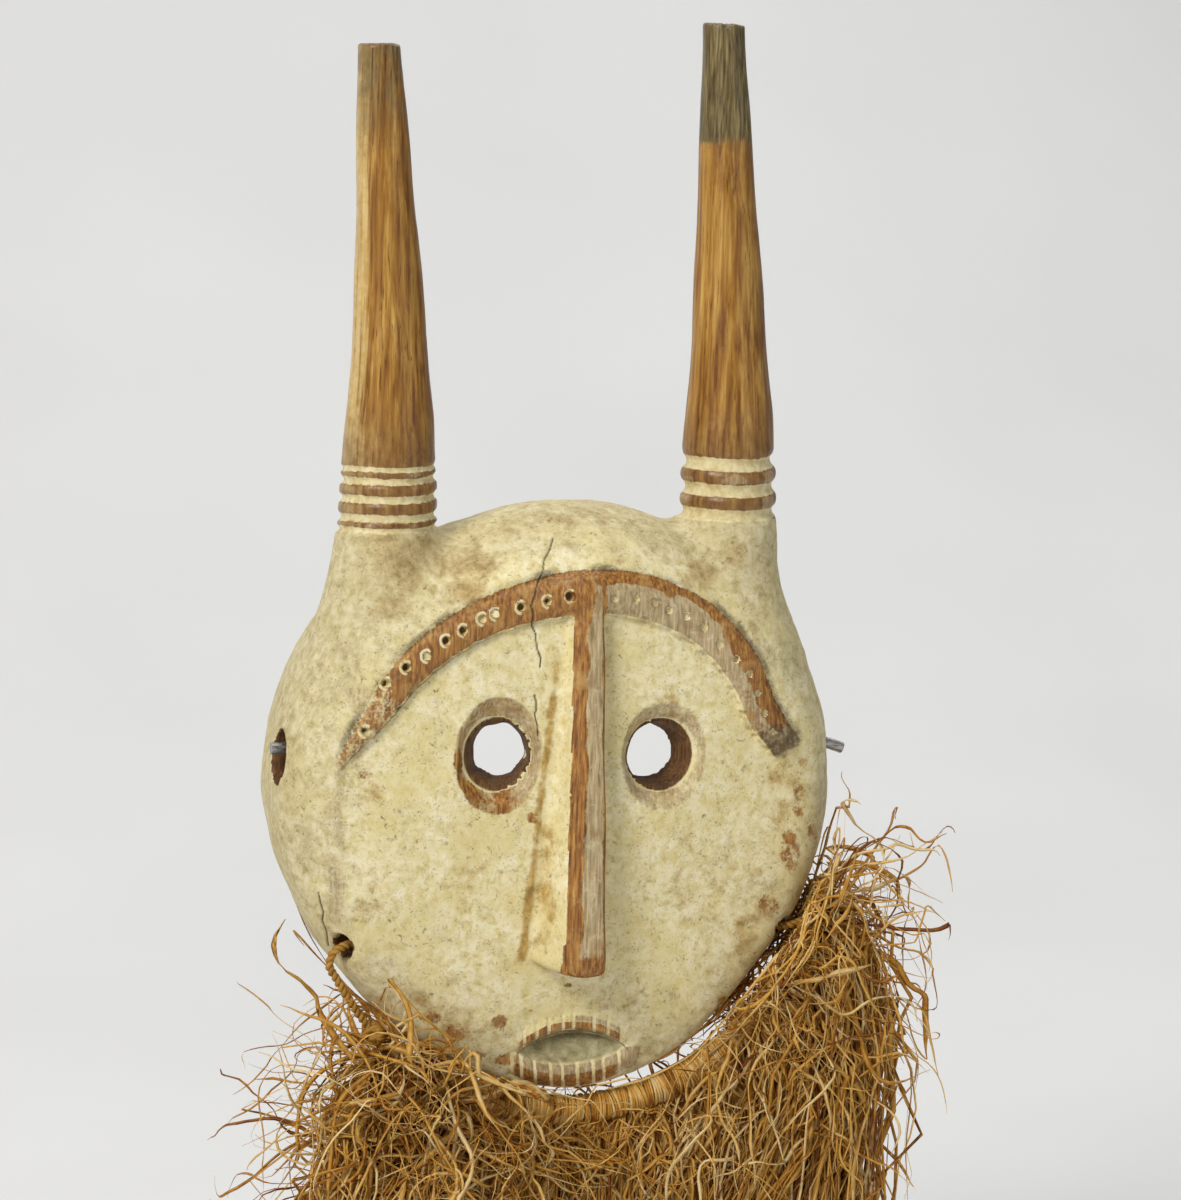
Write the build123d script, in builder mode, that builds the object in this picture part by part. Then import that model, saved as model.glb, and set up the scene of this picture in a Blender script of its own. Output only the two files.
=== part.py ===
from build123d import *
import math
import os

# Horned face mask carved from one block of wood, with a raffia beard hung from
# a wrapped rope collar and a bent steel hanger bow inside the hollow.
# Frame: origin at the centre of the back-rim plane, +X to the right of somebody
# looking at the face, +Y towards the hollow back, +Z up.  Millimetres.

# ---------------------------------------------------------------- head shell
HEAD_CENTRE_Z = -8.0        # centre of the round outline
RIM_INSET = 7.5             # back rim is this much smaller than the widest ring
HOLLOW_WALL = 15.0          # side wall thickness of the hollow
FACE_APEX_Y = -81.0         # front of the face disc
FACE_RADIUS = 700.0         # how flat the face disc is
FACE_APEX_Z = 20.0
FOREHEAD_APEX_Y = -88.0     # front of the bulging forehead
FOREHEAD_RADIUS = 424.0
FOREHEAD_APEX_Z = 60.0
HOLLOW_FRONT_Y = -64.0      # bottom of the hollow, behind the face

# widest outline: (angle from +X, radius) about (0, HEAD_CENTRE_Z)
OUTLINE = [(0, 111.3), (15, 112.0), (30, 112.6), (45, 113.5), (60, 114.0), (75, 113.0),
           (90, 112.3), (105, 111.0), (120, 111.5), (135, 113.0), (150, 113.8), (165, 113.0),
           (180, 112.0), (195, 110.6), (210, 109.6), (225, 109.6), (240, 110.8), (255, 113.2),
           (268, 115.4), (285, 114.4), (300, 111.8), (315, 108.4), (330, 108.8), (345, 110.4)]
# depth from the back rim, inset at the sides, inset at the top, inset at the chin
HEAD_SECTIONS = [(0.0, RIM_INSET, RIM_INSET + 3.0, RIM_INSET + 4.5),
                 (12.0, 4.3, 6.0, 8.3),
                 (24.0, 1.9, 2.6, 5.2),
                 (36.0, 0.4, 0.4, 2.8),
                 (48.0, 0.1, 0.8, 1.1),
                 (60.0, 2.0, 4.2, 0.0),
                 (72.0, 11.0, 12.5, 2.2),
                 (84.0, 31.0, 27.0, 11.5),
                 (96.0, 58.0, 50.0, 27.0)]
HOLLOW_SECTIONS = [(-4.0, HOLLOW_WALL + 4.2), (8.0, HOLLOW_WALL + 2.6), (20.0, HOLLOW_WALL + 1.6),
                   (32.0, HOLLOW_WALL + 1.6), (44.0, HOLLOW_WALL + 3.6), (54.0, HOLLOW_WALL + 10.5),
                   (-HOLLOW_FRONT_Y, HOLLOW_WALL + 30.0)]

# brow: lower edge of the carved band, left to right, X and Z
BROW_LOWER = [(-92, 8), (-79, 25), (-70, 37), (-56, 49), (-40, 58), (-20, 64.5), (0, 67.0),
              (20, 64.5), (38, 57), (52, 47), (63, 35), (72, 21), (84, 7)]
BROW_BAND = 12.5            # width of the sloping band
BROW_STEP = 8.5             # how far the forehead stands proud of the face
BROW_DOT_R = 1.5
BROW_DOTS = [(-84.2, 21.8), (-76.5, 39.8), (-69.2, 45.9), (-61.6, 50.1), (-54.2, 55.8),
             (-47.6, 59.5), (-40.1, 63.7), (-35.2, 65.6), (-25.3, 68.1), (-15.3, 70.3),
             (-6.7, 72.1), (10.4, 71.0), (19.7, 70.4), (27.5, 69.0), (33.4, 65.8), (40.9, 63.3),
             (48.2, 58.8), (54.7, 52.0), (61.7, 46.3), (67.5, 40.2), (71.2, 32.6),
             (74.5, 24.6), (78.2, 17.0)]

# nose ridge: height Z, crest left X, crest right X, base left X, base right X, crest Y
NOSE_SECTIONS = [(79.0, -7.3, 3.6, -9.5, 7.5, -91.0),
                 (66.0, -7.2, 3.7, -11.0, 9.0, -95.5),
                 (0.0, -6.8, 5.6, -14.5, 11.5, -95.0),
                 (-73.5, -7.4, 7.4, -19.5, 14.5, -93.0)]
NOSE_ROOT_Y = -72.0

# eyes: X, Z, socket half width, socket half height
EYES = [(-32.5, 11.2, 16.8, 21.5), (33.8, 9.2, 17.2, 19.4)]
EYE_FRONT_R = 13.0
EYE_BACK_R = 10.5
EYE_BEVEL_DEPTH = 5.0

# mouth
MOUTH_Z = -102.5
MOUTH_HALF_W = 22.0
MOUTH_HALF_H = 6.6
LIP_HALF_W = 29.5
LIP_HALF_H = 14.5
LIP_FRONT_Y = -73.8
MOUTH_FLOOR_Y = -66.5

# ---------------------------------------------------------------- horns
HORN_Y = -50.0
HORN_TIP_Y = -48.0
# height, centre X, radius
LEFT_HORN = [(46.0, -68.5, 26.0), (62.5, -70.6, 24.2), (79.0, -70.3, 21.2), (95.5, -69.5, 19.0),
             (112.0, -69.2, 18.4), (128.5, -69.3, 17.3), (145.0, -69.5, 15.8),
             (161.6, -69.7, 14.5), (178.2, -70.0, 13.4), (194.8, -70.7, 12.4), (211.4, -71.5, 11.5),
             (228.0, -72.4, 10.6), (244.6, -73.3, 9.7), (261.2, -74.2, 8.9), (277.8, -75.1, 8.1)]
RIGHT_HORN = [(46.0, 67.5, 27.0), (63.3, 67.0, 23.6), (80.6, 67.4, 20.4), (97.9, 67.9, 19.0),
              (115.2, 67.7, 18.6), (132.5, 67.1, 17.3), (149.8, 66.7, 15.8),
              (167.2, 66.3, 14.5), (184.6, 65.7, 13.4), (202.0, 65.0, 12.4), (219.3, 64.3, 11.5),
              (236.6, 63.6, 10.4), (253.9, 62.9, 9.5), (271.2, 62.2, 8.7), (288.6, 61.6, 8.1)]
LEFT_GROOVES = [(116.6, 1.5), (107.9, 1.4), (98.9, 1.3)]
RIGHT_GROOVES = [(120.2, 2.0), (110.5, 2.0), (101.4, 2.0)]

# ---------------------------------------------------------------- side holes and hanger bow
SIDE_HOLE_Y = -50.0
SIDE_HOLE_HALF_Y = 7.5
SIDE_HOLE_HALF_Z = 10.5
LEFT_HOLE_Z = 8.0
RIGHT_HOLE_Z = 6.5
ROD_R = 2.3                 # steel rod radius
BOW_LEFT = (-104.0, 11.4)   # pivot axis where it crosses the left wall, X and Z
BOW_RIGHT = (104.0, 9.0)    # pivot axis where it crosses the right wall
BOW_BENDS = [(-84.0, 10.0), (-62.0, 47.5), (-30.0, 66.5), (30.0, 66.0), (59.5, 46.0), (80.5, 15.3)]
BOW_BEND_R = 8.0            # inside the hollow the rod is bent to this radius
STUB_STRAIGHT = 5.0         # straight length of the rod end that stands out on the right
STUB_END = (118.6, 5.0)     # cut end of the rod outside the right wall, X and Z

# ---------------------------------------------------------------- beard
CORD_AXIS_Y = -66.5         # line through the outer mouths of the two cord holes
CORD_AXIS_Z = -62.5
CORD_MOUTH_X = 88.7
CORD_HOLE_R = 4.2
CORD_HOLE_INNER = (62.0, -47.5, -61.0)   # the hole runs from its mouth towards this point
CORD_R = 1.5
STOPPER_R = 5.2
COLLAR_Y = -60.0
CORE_R = 2.6
WRAP_INNER_R = 2.7
WRAP_R = 4.2
COLLAR = [(-71.0, -103.6), (-68.4, -106.8), (-47.8, -119.8), (-23.4, -128.2), (5.5, -133.4),
          (34.6, -129.0), (60.0, -118.2), (79.0, -102.0), (94.2, -79.0), (101.6, -63.4)]
TIE_R = 5.0
LEFT_TIE = (-74.6, -62.0, -98.8)
RIGHT_TIE = (104.0, -60.5, -57.6)
BINDING_R = 0.9
LOOP_R = 0.9                # strip of raffia looped over the collar
LOOP_RING_R = 5.7           # centre radius of a loop, clear of the wrapping
HANK_TOP = (6.4, 2.6)       # half sizes of a hank where it leaves its loops
BEARD_BOTTOM_Z = -300.0
HANK_LEVELS = 5             # sections down each hank
HANK_FORWARD = 7.0          # the fibres hang a little forward of the collar

# hank name, where its loops sit on the collar (0 to 1), X below the loops,
# X at the bottom, bottom height, half width at top and bottom, half depth at top and bottom
HANKS = [
    ("raffia_hank_far_left", 0.085, -66.0, -90.0, -292.0, 7.0, 10.4, 7.0, 10.5),
    ("raffia_hank_left", 0.19, -45.0, -63.5, -297.0, 7.4, 10.6, 7.5, 11.5),
    ("raffia_hank_inner_left", 0.295, -22.8, -37.0, -299.0, 7.6, 10.6, 8.0, 12.0),
    ("raffia_hank_centre_left", 0.40, -0.8, -10.5, BEARD_BOTTOM_Z, 7.8, 10.6, 8.0, 12.0),
    ("raffia_hank_centre_right", 0.505, 22.0, 16.0, BEARD_BOTTOM_Z, 7.8, 10.6, 8.0, 12.0),
    ("raffia_hank_inner_right", 0.61, 45.6, 42.5, -299.0, 7.6, 10.6, 8.0, 12.0),
    ("raffia_hank_right", 0.71, 67.0, 69.0, -297.0, 7.2, 10.6, 7.5, 11.5),
    ("raffia_hank_far_right", 0.81, 87.5, 95.5, -294.0, 6.6, 10.4, 7.0, 11.0),
    ("raffia_tuft_right_end", 0.92, 105.8, 122.0, -290.0, 6.0, 10.4, 7.0, 10.5),
]


def outline_points(inset_side, inset_top, inset_chin):
    """Points of the round outline pulled in by different amounts around it."""
    pts = []
    for angle, radius in OUTLINE:
        a = math.radians(angle)
        up = max(math.sin(a), 0.0) ** 2
        down = max(-math.sin(a), 0.0) ** 2
        inset = inset_side * (1 - up - down) + inset_top * up + inset_chin * down
        pts.append(((radius - inset) * math.cos(a), HEAD_CENTRE_Z + (radius - inset) * math.sin(a)))
    return pts


def oval_points(half_w, half_h, x=0.0, y=0.0):
    """Eight points of an oval, for a closed curve."""
    return [(x + half_w * math.cos(math.radians(45 * i)), y + half_h * math.sin(math.radians(45 * i)))
            for i in range(8)]


def brow_points(offset):
    """Brow line moved outwards from the middle of the face by offset."""
    pts = []
    for x, z in BROW_LOWER:
        d = math.hypot(x, z + 40)
        pts.append((x + offset * x / d, z + offset * (z + 40) / d))
    return pts


# ================================================================ carved head
with BuildPart() as head_barrel:
    for depth, side, top, chin in HEAD_SECTIONS:
        with BuildSketch(Plane.XZ.offset(depth)):
            with BuildLine():
                Spline(*outline_points(side, top, chin), periodic=True)
            make_face()
    loft()

with BuildPart() as face_half:
    add(head_barrel.part)
    with Locations((0, FACE_APEX_Y + FACE_RADIUS, FACE_APEX_Z)):
        Sphere(FACE_RADIUS, mode=Mode.INTERSECT)

# everything under the brow band, with the slope of the band on its upper side
with BuildPart() as below_brow:
    for depth in (68.0, 96.0):
        shift = (depth + FACE_APEX_Y + 2.0) / BROW_STEP * BROW_BAND
        edge = brow_points(shift)
        left_end, right_end = edge[0], edge[-1]
        with BuildSketch(Plane.XZ.offset(depth)):
            with BuildLine():
                Spline(*edge)
                Polyline(right_end, (170.0, right_end[1] - 6.0), (170.0, -170.0),
                         (-170.0, -170.0), (-170.0, left_end[1] - 6.0), left_end)
            make_face()
    loft(ruled=True)

with BuildPart() as forehead_half:
    add(head_barrel.part)
    with Locations((0, FOREHEAD_APEX_Y + FOREHEAD_RADIUS, FOREHEAD_APEX_Z)):
        Sphere(FOREHEAD_RADIUS, mode=Mode.INTERSECT)
    add(below_brow.part, mode=Mode.SUBTRACT)

with BuildPart() as hollow:
    for depth, inset in HOLLOW_SECTIONS:
        with BuildSketch(Plane.XZ.offset(depth)):
            with BuildLine():
                Spline(*outline_points(inset, inset + 1.5, inset + 1.5), periodic=True)
            make_face()
    loft()

with BuildPart() as mask_body:
    add(face_half.part)
    add(forehead_half.part)

    # straight nose ridge from the brow to just above the mouth
    for z, crest_l, crest_r, base_l, base_r, crest_y in NOSE_SECTIONS:
        with BuildSketch(Plane.XY.offset(z)):
            with BuildLine():
                Polyline((base_l, NOSE_ROOT_Y), (base_r, NOSE_ROOT_Y), (crest_r + 1.2, crest_y + 4.0),
                         (crest_r, crest_y), (crest_l, crest_y), (crest_l - 1.2, crest_y + 4.0), close=True)
            make_face()
    loft(ruled=True)

    # lips around the mouth
    for depth, half_w, half_h in ((62.0, LIP_HALF_W + 4, LIP_HALF_H + 3), (-LIP_FRONT_Y, LIP_HALF_W - 2, LIP_HALF_H - 2.5)):
        with BuildSketch(Plane.XZ.offset(depth)):
            with Locations((0, MOUTH_Z)):
                Ellipse(half_w, half_h)
    loft()

    # horns, flaring into the shoulders of the head
    for horn in (LEFT_HORN, RIGHT_HORN):
        z_low, z_top = horn[0][0], horn[-1][0]
        for z, x, radius in horn:
            lean = max(0.0, (z - 96.0) / (z_top - 96.0))
            with BuildSketch(Plane.XY.offset(z)):
                with Locations((x, HORN_Y + (HORN_TIP_Y - HORN_Y) * lean)):
                    Circle(radius)
        loft()

    # carved rings at the horn roots
    for (x, grooves) in ((-69.2, LEFT_GROOVES), (67.7, RIGHT_GROOVES)):
        for z, depth in grooves:
            with Locations((x, HORN_Y, z)):
                Torus(19.6, depth, mode=Mode.SUBTRACT)

    # notch across the tip of the right horn
    with Locations((60.8, HORN_TIP_Y, 289.6)):
        Box(1.6, 30, 5.0, mode=Mode.SUBTRACT)

    # hollow for the wearer's face
    add(hollow.part, mode=Mode.SUBTRACT)

    # eye sockets and tunnels
    for x, z, half_w, half_h in EYES:
        for depth, a, b in ((86.0, half_w + 2.6, half_h + 2.6), (-FACE_APEX_Y - EYE_BEVEL_DEPTH + 1, EYE_FRONT_R, EYE_FRONT_R)):
            with BuildSketch(Plane.XZ.offset(depth)):
                with BuildLine():
                    Spline(*oval_points(a, b, x, z), periodic=True)
                make_face()
        loft(mode=Mode.SUBTRACT)
        for depth, radius in ((84.0, EYE_FRONT_R), (55.0, EYE_BACK_R)):
            with BuildSketch(Plane.XZ.offset(depth)):
                with Locations((x, z)):
                    Circle(radius)
        loft(mode=Mode.SUBTRACT)

    # mouth
    with BuildSketch(Plane.XZ.offset(-MOUTH_FLOOR_Y)):
        with Locations((0, MOUTH_Z)):
            Ellipse(MOUTH_HALF_W, MOUTH_HALF_H)
    extrude(amount=20, mode=Mode.SUBTRACT)

    # drilled dots along the brow band
    with BuildSketch(Plane.XZ.offset(77.5)):
        with Locations(*BROW_DOTS):
            Circle(BROW_DOT_R)
    extrude(amount=16, mode=Mode.SUBTRACT)

    # oval side holes
    with BuildSketch(Plane.YZ.offset(-125)):
        with Locations((SIDE_HOLE_Y, LEFT_HOLE_Z)):
            Ellipse(SIDE_HOLE_HALF_Y, SIDE_HOLE_HALF_Z)
    extrude(amount=60, mode=Mode.SUBTRACT)
    with BuildSketch(Plane.YZ.offset(65)):
        with Locations((SIDE_HOLE_Y, RIGHT_HOLE_Z)):
            Ellipse(SIDE_HOLE_HALF_Y, SIDE_HOLE_HALF_Z)
    extrude(amount=60, mode=Mode.SUBTRACT)

    # cord holes drilled slantwise through the corners of the cheeks
    for side in (-1, 1):
        mouth = Vector(side * CORD_MOUTH_X, CORD_AXIS_Y, CORD_AXIS_Z)
        inner = Vector(side * CORD_HOLE_INNER[0], CORD_HOLE_INNER[1], CORD_HOLE_INNER[2])
        slant = (inner - mouth).normalized()
        with BuildSketch(Plane(origin=mouth - slant * 12, z_dir=slant)):
            Circle(CORD_HOLE_R)
        extrude(amount=12 + (inner - mouth).length - 1.0, mode=Mode.SUBTRACT)

mask_body.part.label = "mask_body"

# ================================================================ hanger bow
bow_slope = (BOW_RIGHT[1] - BOW_LEFT[1]) / (BOW_RIGHT[0] - BOW_LEFT[0])


def bow_axis_z(x):
    return BOW_LEFT[1] + (x - BOW_LEFT[0]) * bow_slope


stub_out = Vector(math.cos(math.radians(-19.4)), 0, math.sin(math.radians(-19.4)))
stub_end = Vector(STUB_END[0], SIDE_HOLE_Y, STUB_END[1])
stub_bend = stub_end - stub_out * (STUB_STRAIGHT + 0.35)

with BuildPart() as hanger_bow:
    with BuildLine() as bow_path:
        bends = [(-113.6, SIDE_HOLE_Y, bow_axis_z(-113.6)), (BOW_BENDS[0][0], SIDE_HOLE_Y, bow_axis_z(BOW_BENDS[0][0]))]
        bends += [(x, SIDE_HOLE_Y, z) for x, z in BOW_BENDS[1:]]
        FilletPolyline(*bends, stub_bend, stub_end, radius=BOW_BEND_R)
    with BuildSketch(Plane(origin=bow_path.line @ 0, z_dir=bow_path.line % 0)):
        Circle(ROD_R)
    sweep()
hanger_bow.part.label = "hanger_bow"

# ================================================================ collar rope
collar_points = [(x, COLLAR_Y, z) for x, z in COLLAR]

with BuildPart() as collar_core:
    with BuildLine() as core_path:
        Spline(*collar_points)
    with BuildSketch(Plane(origin=core_path.line @ 0, z_dir=core_path.line % 0)):
        Circle(CORE_R)
    sweep()
collar_core.part.label = "collar_core"

with BuildPart() as collar_wrapping:
    with BuildLine() as wrap_path:
        Spline(*collar_points)
    with BuildSketch(Plane(origin=wrap_path.line @ 0, z_dir=wrap_path.line % 0)):
        Circle(WRAP_R)
        Circle(WRAP_INNER_R, mode=Mode.SUBTRACT)
    sweep()
collar_wrapping.part.label = "collar_wrapping"

collar_line = core_path.line

# ================================================================ suspension cords
# The cords bend at the mouths of their holes.  The length inside each hole stays with
# the head and carries the stopper knot; the length outside swings with the beard.
def cord_mouth(side, beyond):
    return Vector(side * (CORD_MOUTH_X + beyond), CORD_AXIS_Y, CORD_AXIS_Z)


def cord_inner(side):
    return Vector(side * CORD_HOLE_INNER[0], CORD_HOLE_INNER[1], CORD_HOLE_INNER[2])


with BuildPart() as left_stopper_knot:
    with BuildLine() as left_inside:
        Line(cord_mouth(-1, 0.0), cord_inner(-1))
    with BuildSketch(Plane(origin=left_inside.line @ 0, z_dir=left_inside.line % 0)):
        Circle(CORD_R)
    sweep()
    with Locations(cord_inner(-1)):
        Sphere(STOPPER_R)
left_stopper_knot.part.label = "left_stopper_knot"

with BuildPart() as right_stopper_knot:
    with BuildLine() as right_inside:
        Line(cord_mouth(1, 0.0), cord_inner(1))
    with BuildSketch(Plane(origin=right_inside.line @ 0, z_dir=right_inside.line % 0)):
        Circle(CORD_R)
    sweep()
    with Locations(cord_inner(1)):
        Sphere(STOPPER_R)
right_stopper_knot.part.label = "right_stopper_knot"

with BuildPart() as left_cord:
    with BuildLine() as left_cord_path:
        left_run = Line(cord_mouth(-1, 1.6), cord_mouth(-1, 4.0))
        Spline([left_run @ 1, (-94.4, -66.5, -67.0), (-90.0, -66.2, -76.0), (-81.5, -64.4, -88.5), LEFT_TIE],
               tangents=[left_run % 1, (5, 2, -9)])
    with BuildSketch(Plane(origin=left_cord_path.line @ 0, z_dir=left_cord_path.line % 0)):
        Circle(CORD_R)
    sweep()
left_cord.part.label = "left_cord"

with BuildPart() as right_cord:
    with BuildLine() as right_cord_path:
        right_run = Line(cord_mouth(1, 1.6), cord_mouth(1, 4.0))
        Spline([right_run @ 1, (98.5, -64.5, -60.8), RIGHT_TIE], tangents=[right_run % 1, (2, 1, 1)])
    with BuildSketch(Plane(origin=right_cord_path.line @ 0, z_dir=right_cord_path.line % 0)):
        Circle(CORD_R)
    sweep()
right_cord.part.label = "right_cord"

# knots that tie each cord to its end of the collar
with BuildPart() as left_tie_knot:
    with Locations(LEFT_TIE):
        Sphere(TIE_R)
    add(left_cord.part, mode=Mode.SUBTRACT)
    add(collar_core.part, mode=Mode.SUBTRACT)
    add(collar_wrapping.part, mode=Mode.SUBTRACT)
left_tie_knot.part.label = "left_tie_knot"

with BuildPart() as right_tie_knot:
    with Locations(RIGHT_TIE):
        Sphere(TIE_R)
    add(right_cord.part, mode=Mode.SUBTRACT)
    add(collar_core.part, mode=Mode.SUBTRACT)
    add(collar_wrapping.part, mode=Mode.SUBTRACT)
right_tie_knot.part.label = "right_tie_knot"

# bindings that hold the wrapping, each two turns of twine
BINDINGS = [("left_collar_binding", 0.243), ("right_collar_binding", 0.66)]
binding_parts = []
for binding_name, at in BINDINGS:
    centre = collar_line @ at
    along = collar_line % at
    with BuildPart() as binding:
        for shift in (-0.9, 0.9):
            turn = Plane(origin=centre + along * shift, z_dir=along, x_dir=(0, 1, 0))
            with BuildSketch(turn):
                Circle(WRAP_R + 2 * BINDING_R)
                Circle(WRAP_R + 0.05, mode=Mode.SUBTRACT)
            extrude(amount=0.9, both=True)
    binding.part.label = binding_name
    binding_parts.append(binding.part)

# ================================================================ raffia hanks
hank_parts = []
for hank_name, at, top_x, bottom_x, bottom_z, top_w, bottom_w, top_d, bottom_d in HANKS:
    centre = collar_line @ at
    along = collar_line % at
    outward = Vector(along.Z, 0, -along.X)          # away from the chin
    if outward.Z > 0:
        outward = outward * -1
    with BuildPart() as hank:
        # two loops over the collar, loose enough to turn on it
        for shift in (-3.4, 3.4):
            loop_plane = Plane(origin=centre + along * shift, z_dir=along, x_dir=outward)
            with Locations(loop_plane):
                Torus(LOOP_RING_R, LOOP_R)
        # hanging fibres
        top_plane = Plane(origin=centre + outward * (WRAP_R + 1.2), x_dir=along, z_dir=outward)
        with BuildSketch(top_plane):
            with BuildLine():
                Spline(*oval_points(*HANK_TOP), periodic=True)
            make_face()
        first_z = centre.Z - 24.0
        for i in range(HANK_LEVELS):
            t = i / (HANK_LEVELS - 1)
            ease = math.sin(t * math.pi / 2)
            x = top_x + (bottom_x - top_x) * ease
            z = first_z + (bottom_z - first_z) * t
            half_w = top_w + (bottom_w - top_w) * ease
            half_d = top_d + (bottom_d - top_d) * ease
            y = COLLAR_Y - HANK_FORWARD * ease
            with BuildSketch(Plane(origin=(x, y, z), x_dir=(1, 0, 0), z_dir=(0, 0, -1))):
                with BuildLine():
                    Spline(*oval_points(half_w, half_d), periodic=True)
                make_face()
        loft()
    hank.part.label = hank_name
    hank_parts.append(hank.part)

# ================================================================ export
os.makedirs("parts", exist_ok=True)
all_parts = [mask_body.part, hanger_bow.part, collar_core.part, collar_wrapping.part,
             left_cord.part, right_cord.part, left_stopper_knot.part, right_stopper_knot.part,
             left_tie_knot.part, right_tie_knot.part] + binding_parts + hank_parts
for piece in all_parts:
    export_step(piece, "parts/" + piece.label + ".step")
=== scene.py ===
import bpy
import bmesh
import math
import numpy as np
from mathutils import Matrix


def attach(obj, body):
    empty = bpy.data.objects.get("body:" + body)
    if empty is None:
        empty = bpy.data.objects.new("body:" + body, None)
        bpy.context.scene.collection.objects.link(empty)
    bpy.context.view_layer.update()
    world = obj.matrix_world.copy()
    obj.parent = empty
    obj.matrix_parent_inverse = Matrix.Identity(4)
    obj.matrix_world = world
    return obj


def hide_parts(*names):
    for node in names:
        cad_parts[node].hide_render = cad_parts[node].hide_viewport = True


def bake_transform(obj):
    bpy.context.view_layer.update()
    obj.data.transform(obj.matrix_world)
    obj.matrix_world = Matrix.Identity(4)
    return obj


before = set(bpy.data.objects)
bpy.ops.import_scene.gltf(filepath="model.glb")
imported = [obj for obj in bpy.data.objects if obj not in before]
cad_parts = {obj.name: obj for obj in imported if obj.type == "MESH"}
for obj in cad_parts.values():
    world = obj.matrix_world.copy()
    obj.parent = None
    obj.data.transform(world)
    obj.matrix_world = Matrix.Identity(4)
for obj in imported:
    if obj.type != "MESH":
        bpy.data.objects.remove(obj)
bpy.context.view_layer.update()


# ------------------------------------------------------------------ camera, in millimetres
CAM = np.array([-462.012, -1510.108, 265.408])
CAM_R = np.array([0.951715, -0.306158, 0.022498])
CAM_U = np.array([0.018213, 0.129471, 0.991416])
CAM_F = np.array([0.306443, 0.943135, -0.128796])


def picture(x, y, z):
    """Where a point falls in the 1181 x 1200 picture plane."""
    dx, dy, dz = x - CAM[0], y - CAM[1], z - CAM[2]
    a = dx * CAM_R[0] + dy * CAM_R[1] + dz * CAM_R[2]
    b = dx * CAM_U[0] + dy * CAM_U[1] + dz * CAM_U[2]
    c = dx * CAM_F[0] + dy * CAM_F[1] + dz * CAM_F[2]
    return 590.5 + 4000.0 * a / c, 600.0 - 4000.0 * b / c


# ------------------------------------------------------------------ small maths
def smooth(e0, e1, v):
    t = np.clip((v - e0) / (e1 - e0), 0.0, 1.0)
    return t * t * (3 - 2 * t)


def smin(a, b, k):
    h = np.clip(0.5 + 0.5 * (b - a) / k, 0.0, 1.0)
    return b + (a - b) * h - k * h * (1 - h)


def smax(a, b, k):
    return -smin(-a, -b, k)


def hermite(xs, ys, q):
    xs, ys = np.asarray(xs, float), np.asarray(ys, float)
    m = np.gradient(ys, xs)
    i = np.clip(np.searchsorted(xs, q) - 1, 0, len(xs) - 2)
    h = xs[i + 1] - xs[i]
    t = np.clip((q - xs[i]) / h, 0.0, 1.0)
    t2, t3 = t * t, t * t * t
    return ((2 * t3 - 3 * t2 + 1) * ys[i] + (t3 - 2 * t2 + t) * h * m[i]
            + (3 * t2 - 2 * t3) * ys[i + 1] + (t3 - t2) * h * m[i + 1])


_rng = np.random.RandomState(4)
_LAT = _rng.rand(64, 64, 64)


def noise3(x, y, z, size):
    """Smooth value noise from 0 to 1 with lumps of about the given size in millimetres."""
    x, y, z = x / size + 500.0, y / size + 500.0, z / size + 500.0
    xi, yi, zi = np.floor(x).astype(int), np.floor(y).astype(int), np.floor(z).astype(int)
    fx, fy, fz = x - xi, y - yi, z - zi
    fx, fy, fz = fx * fx * (3 - 2 * fx), fy * fy * (3 - 2 * fy), fz * fz * (3 - 2 * fz)
    x0, y0, z0 = xi % 64, yi % 64, zi % 64
    x1, y1, z1 = (xi + 1) % 64, (yi + 1) % 64, (zi + 1) % 64
    c = _LAT
    a = (c[x0, y0, z0] * (1 - fx) + c[x1, y0, z0] * fx) * (1 - fy) + (c[x0, y1, z0] * (1 - fx) + c[x1, y1, z0] * fx) * fy
    b = (c[x0, y0, z1] * (1 - fx) + c[x1, y0, z1] * fx) * (1 - fy) + (c[x0, y1, z1] * (1 - fx) + c[x1, y1, z1] * fx) * fy
    return a * (1 - fz) + b * fz


# ------------------------------------------------------------------ the mask's measurements
OUTLINE = [(0, 111.3), (15, 112.0), (30, 112.6), (45, 113.5), (60, 114.0), (75, 113.0),
           (90, 112.3), (105, 111.0), (120, 111.5), (135, 113.0), (150, 113.8), (165, 113.0),
           (180, 112.0), (195, 110.6), (210, 109.6), (225, 109.6), (240, 110.8), (255, 113.2),
           (268, 115.4), (285, 114.4), (300, 111.8), (315, 108.4), (330, 108.8), (345, 110.4)]
_a = np.array([o[0] for o in OUTLINE], float)
_r = np.array([o[1] for o in OUTLINE], float)
PHI = np.radians(np.linspace(-180, 180, 1441))
_ax = np.concatenate([_a - 360, _a, _a + 360])
_rx = np.concatenate([_r, _r, _r])
RAD = hermite(_ax, _rx, np.degrees(PHI))

SECTIONS = np.array([(-6.0, 9.3, 12.0, 14.0), (0.0, 7.5, 10.5, 12.0), (12.0, 4.3, 6.0, 8.3), (24.0, 1.9, 2.6, 5.2),
                     (36.0, 0.4, 0.4, 2.8), (48.0, 0.1, 0.8, 1.1), (60.0, 2.0, 4.2, 0.0),
                     (72.0, 11.0, 12.5, 2.2), (84.0, 31.0, 27.0, 11.5), (96.0, 58.0, 50.0, 27.0)])
DEPTH = np.linspace(-6, 96, 409)
INS = [hermite(SECTIONS[:, 0], SECTIONS[:, i], DEPTH) for i in (1, 2, 3)]
DINS = [np.gradient(t, DEPTH) for t in INS]
HOLLOW = np.array([(-4.0, 19.2), (8.0, 17.6), (20.0, 16.6), (32.0, 16.6), (44.0, 18.6), (54.0, 25.5), (64.0, 45.0)])
HDEPTH = np.linspace(-4, 64, 273)
HINS = hermite(HOLLOW[:, 0], HOLLOW[:, 1], HDEPTH)

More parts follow.
